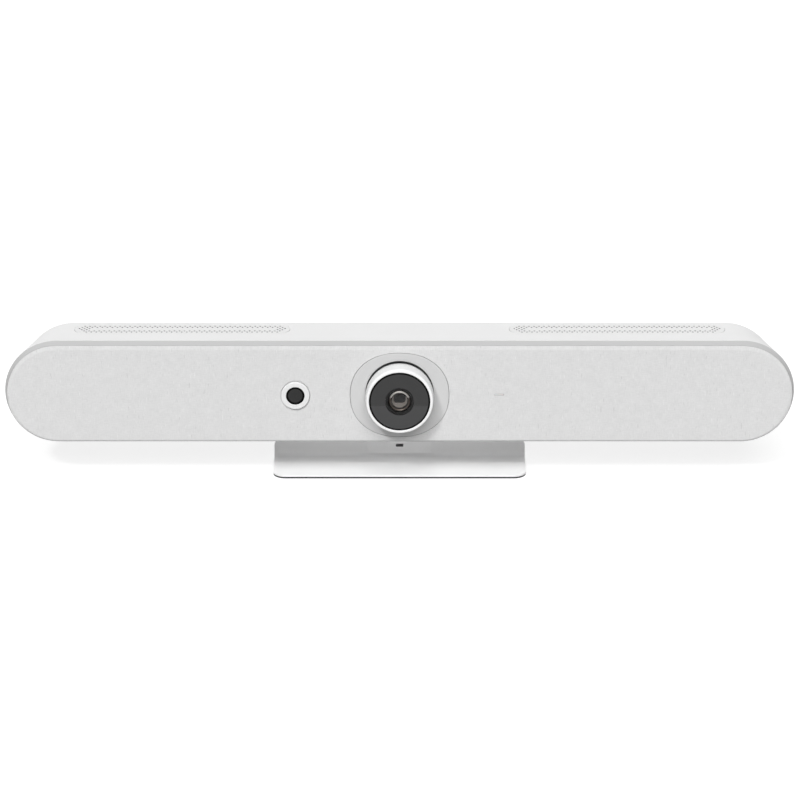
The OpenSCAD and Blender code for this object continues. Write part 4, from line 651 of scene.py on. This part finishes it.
for x, z in wall_inserts:
    bore(holes, [(3.23, 54.0), (3.23, SHELL_D - CHAMFER), (3.23 + CHAMFER, SHELL_D), (3.6, SHELL_D + 1)], x, z)
for x, y in stand_inserts:
    bore(holes, [(3.23, -40.5), (3.23, -50.0)], x, y, seen_from_above)
bore(holes, [(5.4, 49.4), (5.4, 57.5), (4.2, 57.5), (4.2, SHELL_D - CHAMFER), (4.2 + CHAMFER, SHELL_D),
             (4.2 + CHAMFER, SHELL_D + 1)], BUTTON_X, BUTTON_Z)
for x, z in frame_screws:
    bore(holes, [(1.53, 2.0), (1.53, 9.5)], x, z)
for x, z in chassis_posts:
    bore(holes, [(1.53, 25.0), (1.53, 36.4)], x, z)
carve(housing, [("UNION", bosses), ("UNION", seat), ("DIFFERENCE", holes)])
dress(housing, finishes["white_housing"], "housing", "white_housing", "rear_shell")

# %% [markdown]
# # The grey frame
#
# The frame closes the housing like a lid. From outside only a band of eight millimetres shows, which slopes
# in to the cloth and ends in a thin lip round it, and a fine seam where it meets the housing. Behind the band a lip goes into the housing
# and holds it in line. It's again a stack of outlines, and its front wall is cut for the collar of the
# turret, the speakers, the small camera, the light and the microphones.

# %% The frame, with its lip and front wall
FRAME_Y, FRAME_BACK, LIP_D, CLOTH_DRAW, BAND_Y = -6.5, -4.0, 3.0, 1.8, -8.3
SPEAKER_X, EYE_X, EYE_Z, LIGHT_X, LIGHT_Z = 262.01, -95.1, -1.4, 90.77, -0.9


def rim_outline(inset):
    return bar(BODY_W - 2 * inset, BODY_H - 2 * inset)


bm = bmesh.new()
stack(bm, [(rim_outline(CLOTH_DRAW + 3.0), FRAME_BACK), (rim_outline(CLOTH_DRAW + 3.0), LIP_D),
           (rim_outline(3.58), LIP_D), (rim_outline(3.58), -SEAM), (rim_outline(2 * SEAM), -SEAM),
           (rim_outline(0.05), -3 * SEAM), (rim_outline(2.1), BAND_Y + 0.15), (rim_outline(2.2), BAND_Y),
           (rim_outline(2.34), BAND_Y), (rim_outline(2.42), BAND_Y + 0.12), (rim_outline(2.44), FRAME_Y)], sides=128)
grey_frame = as_object(bm, "frame_moulding")

posts, openings = bmesh.new(), bmesh.new()
for x, z in frame_screws:
    pin(posts, 3.8, FRAME_BACK - 0.5, LIP_D, x, z)
for side in (-1, 1):
    pin(posts, 1.5, FRAME_BACK - 0.5, -2.0, LIGHT_X + side * 5.75, LIGHT_Z)
through = (FRAME_Y - 1, FRAME_BACK + 1)
for r, x, z in [(36.03, 0, 0), (29.2, -SPEAKER_X, 0), (29.2, SPEAKER_X, 0), (8.6, EYE_X, EYE_Z)]:
    stack(openings, [(circle(r, x, z), y) for y in through], sides=64)
stack(openings, [(bar(8.9, 1.6, LIGHT_X, LIGHT_Z), y) for y in through], sides=32)
microphone_places = [(side * 155.0 + step * 30, 30.0) for side in (-1, 1) for step in (-1, 0, 1)]
for x, z in microphone_places:
    stack(openings, [(circle(0.8, x, z), y) for y in through], sides=16)
for x, z in frame_screws:
    bore(openings, [(1.53, LIP_D + 1), (1.53, -5.0), (2.8, -5.0), (2.8, -7.5)], x, z)
carve(grey_frame, [("UNION", posts), ("DIFFERENCE", openings)])
dress(grey_frame, finishes["grey_frame"], "housing", "grey_frame", "front_frame")

# %% [markdown]
# # The cloth
#
# The cloth is cut as a long bar with round ends, pulled over the edge of a perforated panel and glued
# behind it, so it is flat in front and rounds over to the frame's lip. It ends in a tidy edge at the oval trim and at
# the light, and sinks softly round the small camera, where a ring presses it down. A cloth simulation would
# only find this flat shape again, so the sheet is built as a thin closed skin: outlines round the edge,
# outlines in each hole, and flat faces filled in between.

# %% Outlines of the cloth's edge and of its three holes
CLOTH_Y, PANEL_Y, PANEL_IN = -9.0, -8.0, 2.8
CLOTH_IN, SHOULDER, LOW_SHOULDER = 2.5, 3.9, 1.2
OVAL_W, OVAL_H, OVAL_Z = 89.9, 80.6, -1.2
EYE_R = 13.0


def shoulder_outline(share):
    """The cloth's edge drawn in by a share of its slope, which is wide above and narrow below."""
    def place(c, s):
        slope = LOW_SHOULDER + (SHOULDER - LOW_SHOULDER) * (0.5 + 0.5 * s)
        return rim_outline(CLOTH_IN + share * slope)(c, s)
    return place


def edge_levels():
    """The cloth's edge: straight up the lip, then a slope with both of its ends rounded."""
    slope = ((0.0, 0.0), (0.02, 0.1), (0.08, 0.19), (0.9, 0.95), (0.96, 0.985), (1.0, 1.0))
    return [(rim_outline(CLOTH_IN), FRAME_Y)] + [
        (shoulder_outline(share), BAND_Y + (CLOTH_Y - BAND_Y) * rise) for share, rise in slope]


hole_levels = [
    (96, [(oval(OVAL_W + 2 * more, OVAL_H + 2 * more, OVAL_Z), y)
          for more, y in ((0.75, CLOTH_Y), (0.5, -8.95), (0.38, -8.8), (0.35, -8.5), (0.35, PANEL_Y))]),
    (64, [(circle(EYE_R + more, EYE_X, EYE_Z), y)
          for more, y in ((3.4, CLOTH_Y), (2.4, -8.95), (1.5, -8.82), (0.8, -8.6), (0.35, -8.3), (0.25, PANEL_Y))]),
    (32, [(bar(8.5 + 2 * more, 1.2 + 2 * more, LIGHT_X, LIGHT_Z), y)
          for more, y in ((0.45, CLOTH_Y), (0.28, -8.93), (0.22, -8.8), (0.22, PANEL_Y))]),
]

# %% The cloth's skin
bm = bmesh.new()
rim = stack(bm, [(rim_outline(PANEL_IN), PANEL_Y), (rim_outline(PANEL_IN), FRAME_Y)] + edge_levels(),
            sides=128, caps=(False, False))
ends = [stack(bm, levels, sides=sides, caps=(False, False)) for sides, levels in hole_levels]
for outer, inner in ((rim[1], [first for first, _ in ends]), (rim[0], [last for _, last in ends])):
    bmesh.ops.triangle_fill(bm, use_beauty=True, use_dissolve=False, edges=sum(inner, list(outer)))
cloth = as_object(bm, "cloth_front")
dress(cloth, finishes["grey_fabric"], "housing", "grey_fabric", "fabric_cover", sharp_above=50)
half_area = sum(face.area for face in cloth.data.polygons) / 2
print("cloth area", round(half_area, 5), "square metres")

# %% [markdown]
# # The oval trim
#
# Round the ball lies an oval trim that is dished: its edge is level with the cloth, and its hole, which is
# round, lies a little deeper, with a collar behind it. The outline has to go from oval to round, so the
# outlines in between are blends of the two. A thin gap round the trim shows as a fine dark line. A ring of
# black rubber lines the hole, so that the gap round the ball looks black: that ring is painted shade in the gap.

# %% The trim from its outer edge over the dish to the collar
HOLE_R, HOLE_Y, COLLAR_R, TRIM_Y = 31.2, -7.7, 35.8, -8.9
GAP_SHADE_R = 30.2
edge_shape = oval(OVAL_W, OVAL_H, OVAL_Z)
DISH_STEPS = 8
bm = bmesh.new()
dish = [(between(oval(OVAL_W - 0.6, OVAL_H - 0.6, OVAL_Z), circle(HOLE_R + 0.3), i / DISH_STEPS),
         TRIM_Y + (HOLE_Y - TRIM_Y) * (0.15 * i / DISH_STEPS + 0.85 * (i / DISH_STEPS) ** 1.6))
        for i in range(DISH_STEPS + 1)]
stack(bm, [(edge_shape, FRAME_Y), (edge_shape, -8.65), (oval(OVAL_W - 0.15, OVAL_H - 0.15, OVAL_Z), -8.82)] + dish
      + [(circle(HOLE_R), HOLE_Y + 0.25), (circle(HOLE_R), FRAME_BACK), (circle(COLLAR_R), FRAME_BACK),
         (circle(COLLAR_R), FRAME_Y)], sides=128, closed=True)
trim = as_object(bm, "trim_dish")
dress(trim, finishes["trim_plastic"], "housing", "trim_plastic", "oval_trim")

# %% A black ring in the trim's hole, close round the ball, as painted shade in the gap
bm = bmesh.new()
turned(bm, [(GAP_SHADE_R, FRAME_BACK), (HOLE_R, FRAME_BACK), (HOLE_R, HOLE_Y + 0.35), (HOLE_R - 0.35, HOLE_Y + 0.12),
            (GAP_SHADE_R + 0.3, HOLE_Y + 0.12), (GAP_SHADE_R, HOLE_Y + 0.35)], steps=128)
gap_shade_ring = as_object(bm, "trim_gap_shade_ring")
# Black rubber where the gap round the ball holds shade: painted shade.
dress(gap_shade_ring, finishes["surround_rubber"], "housing", "trim_plastic", "oval_trim")

# %% [markdown]
# # The ball
#
# The ball is a polished white moulding. Its rear half is a sphere, open at the back so that it clears the
# arms that carry it, and its front half is nearly a cylinder. A rim of the same plastic closes it and holds
# the glass. All of these are turned forms, drawn as half sections that count forwards from the ball's
# centre. That centre is where the two axes of the gimbal cross, which lies ahead of the cloth.

# %% The ball and its rim
PIVOT_Y = -19.2
BALL_R, BALL_IN, BALL_OPEN = 31.25, 29.6, 40.5
RIM_Z, FACE_Z, GLASS_R = 8.0, 11.1, 27.75


def ahead(section):
    """A half section of (radius, distance ahead of the ball's centre) as (radius, depth)."""
    return [(r, PIVOT_Y - z) for r, z in section]


def sphere_part(r, start, end, steps):
    """Points of a sphere's section, by angles in degrees from straight back."""
    angles = [math.radians(start + (end - start) * i / steps) for i in range(steps + 1)]
    return [(r * math.sin(a), -r * math.cos(a)) for a in angles]


bm = bmesh.new()
inner_front = math.degrees(math.acos(-RIM_Z / BALL_IN))
turned(bm, ahead(sphere_part(BALL_R, BALL_OPEN, 90, 14) + [(30.5, RIM_Z)]
                 + sphere_part(BALL_IN, inner_front, BALL_OPEN, 14)), steps=128)
soften(bm, 0.15, 2, above=40)
ball = as_object(bm, "ball_moulding")
# The ball takes the darker copy of the rim's white plastic: painted shade.
dress(ball, finishes["shaded_turret_plastic"], "camera_head", "turret_plastic", "turret_shell")

bm = bmesh.new()
turned(bm, ahead([(26.5, RIM_Z), (30.35, RIM_Z), (30.44, RIM_Z + 0.12)] + arc(29.4, 10.15, 0.95, 0, 90)
                 + arc(28.3, 10.65, 0.45, 90, 180, 4) + [(27.85, 8.8), (26.5, 8.8)]), steps=128)
rim_piece = as_object(bm, "ball_rim")
dress(rim_piece, finishes["turret_plastic"], "camera_head", "turret_plastic", "turret_ring")

# %% [markdown]
# # The glass face and the lens
#
# A round glass fills the rim. At its edge a black border is printed on it, its middle is clear over the
# lens, and between them it is smoked. They are made as three pieces that lie in each other, because each
# has a finish of its own. Behind the clear middle sit a black collar with fine grooves, a metal ring that
# holds the front lens, the lens itself, and a baffle that keeps stray light out. The place where a maker
# would print a name is left plain.

# %% Glass, border and window
bm = bmesh.new()
turned(bm, ahead([(13.0, 9.8), (26.25, 9.8), (26.25, 11.0), (13.0, 11.0)]), steps=128)
soften(bm, 0.08, 2)
face_glass = as_object(bm, "face_glass")
dress(face_glass, finishes["face_glass"], "camera_head", "black_glass", "turret_glass")

bm = bmesh.new()
turned(bm, ahead([(26.27, 9.8), (27.75, 9.8)] + arc(27.35, 10.55, 0.4, 0, 90, 4) + [(26.27, 10.99)]), steps=128)
border = as_object(bm, "face_border")
dress(border, finishes["printed_border"], "camera_head", "black_glass", "turret_glass")

bm = bmesh.new()
turned(bm, ahead([(0, 9.85), (12.98, 9.85), (12.98, 10.95), (0, 10.95)]), closed=False)
soften(bm, 0.06, 2)
window = as_object(bm, "lens_window")
dress(window, finishes["clear_glass"], "camera_head", "clear_glass", "turret_glass")

# %% Collar and holding ring
grooves = [(12.9 - 0.45 * k - step, 9.8 - drop) for k in range(4) for step, drop in
           ((0.0, 0.0), (0.15, 0.0), (0.22, 0.25), (0.38, 0.25))]
bm = bmesh.new()
turned(bm, ahead([(10.75, 8.8), (12.9, 8.8)] + grooves + [(11.1, 9.8), (10.75, 9.3)]))
collar = as_object(bm, "lens_collar")
dress(collar, finishes["dark_plastic"], "camera_head", "dark_plastic", "lens_ring")

bm = bmesh.new()
turned(bm, ahead([(7.9, 8.95), (9.75, 8.75), (9.7, 8.9)] + arc(8.75, 9.0, 0.72, 20, 100, 5) + [(7.95, 9.2)]))
holder = as_object(bm, "lens_holder")
# The ring's upper half carries a painted highlight, and its lower half is painted dark.
dress(holder, finishes["holder_alloy"], "camera_head", "dark_plastic", "lens_ring")

# %% The front lens
DOME, LENS_R = 58.0, 10.7


def dome_height(r):
    return 9.6 - DOME + math.sqrt(DOME ** 2 - r ** 2)


bm = bmesh.new()
turned(bm, ahead([(0, 7.8), (LENS_R - 0.1, 7.8)] + [(LENS_R * k / 10, dome_height(LENS_R * k / 10))
                                                   for k in range(10, -1, -1)]), closed=False)
lens = as_object(bm, "lens_element")
dress(lens, finishes["lens_glass"], "camera_head", "clear_glass", "lens_front")

# %% The baffle behind it, and the dark second lens in its mouth
bm = bmesh.new()
mouth = panel(11.0, 9.4, 3.2, 0, 1.3)
stack(bm, [(circle(9.3), PIVOT_Y - 3.6), (circle(9.3), PIVOT_Y - 7.6), (circle(9.0), PIVOT_Y - 7.75),
           (circle(8.2), PIVOT_Y - 7.1), (circle(8.0), PIVOT_Y - 7.1), (circle(7.4), PIVOT_Y - 6.7),
           (mouth, PIVOT_Y - 5.6), (mouth, PIVOT_Y - 3.6)], sides=64, closed=True)
baffle = as_object(bm, "lens_baffle")
dress(baffle, finishes["baffle_plastic"], "camera_head", "dark_plastic", "lens_front")

bm = bmesh.new()
turned(bm, ahead([(0, 3.1), (7.6, 3.1)] + [(7.6 * k / 8, 3.2 + 0.35 * (1 - (k / 8) ** 2))
                                          for k in range(8, -1, -1)]), steps=64, closed=False)
inner_lens = as_object(bm, "lens_inner")
dress(inner_lens, finishes["black_glass"], "camera_head", "clear_glass", "lens_front")

# %% [markdown]
# # The small camera and the status light
#
# The small camera looks out of a white ring that presses the cloth down. A fine groove runs round the
# ring's face, and its lens is a black disc with a raised border and a domed middle. The status light is a
# bar of milky plastic, not much wider than a grain of rice, that ends level with the trim.

# %% Ring, border and lens of the small camera
bm = bmesh.new()
turned(bm, [(8.45, FRAME_Y), (13.0, FRAME_Y), (13.0, -10.2)] + [(r, -y) for r, y in arc(12.2, 10.2, 0.8, 10, 90, 5)]
       + [(11.2, -11.0), (11.05, -10.88), (10.9, -11.0)]
       + [(r, -y) for r, y in arc(8.85, 10.6, 0.4, 90, 180, 4)], EYE_X, EYE_Z)
eye_rim = as_object(bm, "eye_rim")
# The ring takes the darker copy of the white plastic: painted shade.
dress(eye_rim, finishes["shaded_turret_plastic"], "housing", "turret_plastic", "eye_ring")

bm = bmesh.new()
turned(bm, [(6.6, -9.4), (8.4, -9.4), (8.4, -10.45), (8.2, -10.6), (7.6, -10.6), (6.6, -10.1)], EYE_X, EYE_Z, 64)
eye_border = as_object(bm, "eye_border")
dress(eye_border, finishes["printed_border"], "housing", "black_glass", "eye_window")

eye_dome = [(6.55 * i / 8, -10.45 + 0.45 * (i / 8) ** 2) for i in range(9)]
bm = bmesh.new()
turned(bm, [(0, -9.4), (6.55, -9.4)] + eye_dome[::-1], EYE_X, EYE_Z, 64, closed=False)
eye_lens = as_object(bm, "eye_lens")
dress(eye_lens, finishes["eye_glass"], "housing", "black_glass", "eye_window")

# %% The milky bar of the status light
bm = bmesh.new()
stack(bm, [(bar(8.5, 1.2, LIGHT_X, LIGHT_Z), -2.0), (bar(8.5, 1.2, LIGHT_X, LIGHT_Z), -8.75),
           (bar(8.3, 1.0, LIGHT_X, LIGHT_Z), -8.88), (bar(7.9, 0.6, LIGHT_X, LIGHT_Z), TRIM_Y)], sides=32)
status = as_object(bm, "status_bar")
dress(status, finishes["light_diffuser"], "housing", "light_diffuser", "light_pipe")

# %% [markdown]
# # The stand
#
# The stand is one steel sheet of about 2 mm, cut with rounded corners, bent up at its back edge and painted. A
# second, narrower piece rises from it to the housing. Bending is best shown by following the sheet: one
# edge across the sheet is extruded again and again along the bend, and its width follows the corners. The
# sheet then gets its thickness, the slot for a cable lock and the screw holes are punched, and its cut edges
# are rounded a little, as by paint.

# %% A bent sheet from the rows across it
TABLE_Z = -AXIS_HEIGHT / MM
STAND_BACK, SHEET_T = 47.0, 1.6


def bent_sheet(name, rows, thickness, side):
    """Extrudes an edge through rows of (half width, depth, height above the table), and thickens it."""
    bm = bmesh.new()
    half, y, z = rows[0]
    edge = bm.edges.new([bm.verts.new(at(s * half, y, z + TABLE_Z)) for s in (-1, 1)])
    for half, y, z in rows[1:]:
        new = bmesh.ops.extrude_edge_only(bm, edges=[edge])["geom"]
        for point in (item for item in new if isinstance(item, bmesh.types.BMVert)):
            point.co = at(math.copysign(half, point.co.x), y, z + TABLE_Z)
        edge = next(item for item in new if isinstance(item, bmesh.types.BMEdge))
    bm.normal_update()
    bm.faces.ensure_lookup_table()
    if bm.faces[0].normal.dot(Vector(side)) < 0:
        bmesh.ops.reverse_faces(bm, faces=bm.faces)
    mesh = bpy.data.meshes.new(name)
    bm.to_mesh(mesh)
    bm.free()
    made = bpy.data.objects.new(name, mesh)
    bpy.context.scene.collection.objects.link(made)
    thick = made.modifiers.new("thickness", "SOLIDIFY")
    thick.thickness, thick.offset, thick.use_even_offset = thickness * MM, -1.0, True
    finished_mesh(made)
    return made


def turn_steps(steps):
    return [math.pi / 2 * i / steps for i in range(steps + 1)]


# %% The plate, its bend and the upright strip
HALF, FRONT_R, TOP_R, BEND_R, PLATE_TOP, STRIP_TOP = 116.5, 12.0, 5.5, 3.0, 3.2, 18.7
rows = [(HALF - FRONT_R + FRONT_R * math.sin(a), -5.5 + FRONT_R * (1 - math.cos(a)), PLATE_TOP) for a in turn_steps(10)]
rows += [(HALF, STAND_BACK - BEND_R + BEND_R * math.sin(a), PLATE_TOP + BEND_R * (1 - math.cos(a))) for a in turn_steps(8)]
rows += [(HALF - TOP_R * (1 - math.cos(a)), STAND_BACK, STRIP_TOP - TOP_R + TOP_R * math.sin(a)) for a in turn_steps(8)]
sheet = bent_sheet("stand_sheet", rows, SHEET_T, (0, 0, 1))
LOCK_Z, SCREW_X, SCREW_Z = 14.3, 20.0, 12.2


def punched(slot_from, screws_from, to):
    """The lock slot and the two screw holes in the upright parts, each between two depths."""
    bm = bmesh.new()
    stack(bm, [(panel(7, 3, 0.9, 0, LOCK_Z + TABLE_Z), y) for y in (slot_from, to)], sides=32)
    for side in (-1, 1):
        pin(bm, 1.63, screws_from, to, side * SCREW_X, SCREW_Z + TABLE_Z)
    return bm


carve(sheet, [("DIFFERENCE", punched(45.0, 45.0, 52.0))])
dress(sheet, finishes["stand_paint"], "housing", "stand_paint", "stand_plate", edge=0.3)

# %% The riser with its flange under the housing
OUTER_R, RISER_TOP, RISER_FRONT = 4.0, 35.5, 13.0
rows = [(30.0, STAND_BACK, 6.4), (30.0, STAND_BACK, 20.0)]
rows += [(30.0, STAND_BACK - OUTER_R * (1 - math.cos(a)), RISER_TOP - OUTER_R + OUTER_R * math.sin(a)) for a in turn_steps(8)]
rows += [(30.0 - 3 * (1 - math.cos(a)), RISER_FRONT + 3 - 3 * math.sin(a), RISER_TOP) for a in turn_steps(6)]
riser = bent_sheet("stand_riser", rows, 3.0, (0, 1, 0))
flange_holes = bmesh.new()
for x, y in stand_inserts:
    pin(flange_holes, 1.63, 31.0 + TABLE_Z, 37.0 + TABLE_Z, x, y, seen_from_above)
carve(riser, [("DIFFERENCE", punched(42.0, 44.9, 49.0)), ("DIFFERENCE", flange_holes)])
dress(riser, finishes["stand_paint"], "housing", "stand_paint", "stand_neck", edge=0.25)

# %% A grey lining for the lock slot: its grey is painted shade inside the slot
bm = bmesh.new()
lining = [(0.0, 48.5), (0.0, 44.15), (-0.5, 44.15), (-0.5, 47.9)]
stack(bm, [(panel(6.98 + more, 2.98 + more, 0.85 if more == 0 else 0.6, 0, LOCK_Z + TABLE_Z), y)
           for more, y in lining], sides=32)
lock_slot_shade_lining = as_object(bm, "lock_slot_shade_lining")
dress(lock_slot_shade_lining, finishes["grey_panel"], "housing", "stand_paint", "stand_neck")

# %% [markdown]
# ## The pad under the stand
#
# Seen from the front, a dark line runs under the whole plate. It is drawn as a rubber pad, over a millimetre
# thick and cut a little smaller than the plate, in near-black rubber rather than the feet's grey, so its
# darkness is partly painted shade in the gap under the plate. It's one outline of the plate's plan, extruded
# in three steps so that its lower edge is rounded.

# %% The rubber pad, near black as partly painted shade under the plate
def pad_outline(inset):
    """The plate's plan, with large corners in front and small ones at the back."""
    front, rear, r_front, r_rear = -5.5 + inset, 43.5 - inset, FRONT_R - inset, 2.0
    half = HALF - inset

    def place(c, s):
        r = r_front if s < 0 else r_rear
        middle = front + r if s < 0 else rear - r
        return (math.copysign(half - r, c) + r * c, middle + r * s)
    return place


bm = bmesh.new()
stack(bm, [(pad_outline(inset), level + TABLE_Z) for inset, level in
           ((0.5, 0.0), (0.25, 0.08), (0.2, 0.2), (0.2, PLATE_TOP - SHEET_T))], view=seen_from_above, sides=64)
pad = as_object(bm, "rubber_pad_painted_gap_shade")
# Near-black rubber, darker than the feet's grey: partly painted shade in the gap under the plate.
dress(pad, finishes["surround_rubber"], "housing", "foot_rubber", "rubber_feet")

# %% [markdown]
# # Bolts and the power button
#
# Six socket-head bolts hold the stand: four go up into the housing and two join the riser to the strip.
# A bolt is a stack of circles that ends in a hexagon, which goes down into the head. The power button is a
# turned cap with a shallow dimple for a fingertip, and a collar inside that keeps it from falling out.

# %% Bolts with a hexagonal socket
def bolt(bm, x, across, top, length, view, way):
    """A bolt whose head's top is at a level, and that points along the level by way, 1 or -1."""
    def level(depth):
        return top + way * depth
    stack(bm, [(hexagon(3.0, x, across), level(1.5)), (hexagon(3.0, x, across), level(0.0)),
               (circle(3.0, x, across), level(0.0)), (circle(3.4, x, across), level(0.35)),
               (circle(3.4, x, across), level(2.4)), (circle(1.6, x, across), level(2.4)),
               (circle(1.6, x, across), level(2.4 + length - 0.4)), (circle(1.2, x, across), level(2.4 + length))],
          view=view, sides=24, turn=0.0)


bm = bmesh.new()
for x, y in stand_inserts:
    bolt(bm, x, y, 30.1 + TABLE_Z, 10.0, seen_from_above, 1)
for side in (-1, 1):
    bolt(bm, side * SCREW_X, SCREW_Z + TABLE_Z, STAND_BACK + SHEET_T + 2.4, 3.8, seen_from_front, -1)
bolts = as_object(bm, "stand_bolts")
dress(bolts, finishes["steel"], "housing", "steel", "stand_screws")

# %% The power button
bm = bmesh.new()
turned(bm, [(0, 56.2), (5.2, 56.2), (5.2, 57.2), (4.0, 57.2)] + arc(3.5, 61.3, 0.5, 0, 90, 4)
       + [(2.8, 61.7), (1.8, 61.5), (0.9, 61.42), (0, 61.4)], BUTTON_X, BUTTON_Z, 48, closed=False)
cap = as_object(bm, "power_cap")
dress(cap, finishes["white_housing"], "button", "white_housing", "power_button")

# %% [markdown]
# # Floor, light and camera
#
# The photograph is a plain studio picture on white. A small lamp shines from the front, above and a little
# from the left, and throws a fairly crisp shadow of the ball on the cloth. A broad one, like a large soft
# box in front, fills that side: it makes the stand's plate bright and leaves the strip under the bar dark.
# A third, softer still, lights the back. The rest is even light from all round, which a white world gives. Seen by the camera, or mirrored in glass and metal, that world is
# plain white. For all other rays it is dimmer, so that together with the lamps a colour renders as written.
# The floor is a plain grey, so that it throws little light up at the stand, and it is lifted to white for
# the camera in the same way. The lift isn't the whole of its brightness, so the shadow stays on it.

# %% What the camera and mirrors see, and what lights the object
def seen_as_white(tree, path, dim, bright):
    """One value for the camera, mirrors and glass, and a dimmer one for all other rays."""
    seen = add(tree, "ShaderNodeMath", {0: path["Is Camera Ray"], 1: path["Is Glossy Ray"]},
               operation="MAXIMUM").outputs[0]
    seen = add(tree, "ShaderNodeMath", {0: seen, 1: path["Is Transmission Ray"]}, operation="MAXIMUM").outputs[0]
    return spread(tree, seen, 0.0, 1.0, dim, bright)


# %% A pale floor that keeps the shadow
scene = bpy.context.scene
bm = bmesh.new()
bmesh.ops.create_grid(bm, x_segments=1, y_segments=1, size=30)
floor = as_object(bm, "studio_floor")
FLOOR_LIFT = 0.7
pale, tree, surface, place = new_finish("pale_studio_floor", "#b0b0b0", 0.9, Specular_IOR_Level=0.0,
                                        Emission_Color=linear("#ffffff"))
path = add(tree, "ShaderNodeLightPath").outputs
tree.links.new(seen_as_white(tree, path, 0.0, FLOOR_LIFT), surface.inputs["Emission Strength"])
floor.data.materials.append(pale)

# %% A world that is white to look at and dimmer as a light
AMBIENT = 0.22
world = bpy.data.worlds.new("white_studio")
scene.world = world
world.use_nodes = True
tree = world.node_tree
tree.nodes.clear()
path = add(tree, "ShaderNodeLightPath").outputs
strength = seen_as_white(tree, path, AMBIENT, 1.0)
sky = add(tree, "ShaderNodeBackground", {"Color": linear("#ffffff"), "Strength": strength})
add(tree, "ShaderNodeOutputWorld", {"Surface": sky.outputs[0]})

# %% The three lamps
lamps = {  # strength, width of the light in degrees, and the way it shines
    "key_lamp": (0.9, 6, (0.297, 0.696, -0.654)),
    "broad_lamp": (2.15, 44, (0.0, 0.695, -0.719)),
    "back_lamp": (0.9, 90, (0.0, -0.87, -0.5)),
}
for name, (energy, width, way) in lamps.items():
    light = bpy.data.lights.new(name, "SUN")
    light.energy, light.angle = energy, math.radians(width)
    lamp = bpy.data.objects.new(name, light)
    lamp.rotation_mode = "QUATERNION"
    lamp.rotation_quaternion = Vector(way).to_track_quat("-Z", "Y")
    scene.collection.objects.link(lamp)
print(len(lamps), "lamps")

# %% [markdown]
# ## The camera
#
# The photograph looks at the bar straight from the front and from 19.8 degrees above the level. Its lens is
# long: lines that go to the back hardly come together, which fits a distance of 3.7 m.

# %% The camera at the photograph's angle
ELEVATION, DISTANCE, FOCAL = 19.8, 3.7, 182.0
target = Vector((0.00037, -0.01585, 0.07487))
back = Vector((0, -math.cos(math.radians(ELEVATION)), math.sin(math.radians(ELEVATION))))
view = bpy.data.cameras.new("photo_camera")
view.lens, view.sensor_width, view.clip_start, view.clip_end = FOCAL, 36.0, 0.05, 200.0
camera = bpy.data.objects.new("photo_camera", view)
camera.location = target + back * DISTANCE
camera.rotation_mode = "QUATERNION"
camera.rotation_quaternion = (-back).to_track_quat("-Z", "Y")
scene.collection.objects.link(camera)
scene.camera = camera
scene.view_settings.view_transform = "Standard"
print("camera", DISTANCE, "m away,", ELEVATION, "degrees up")
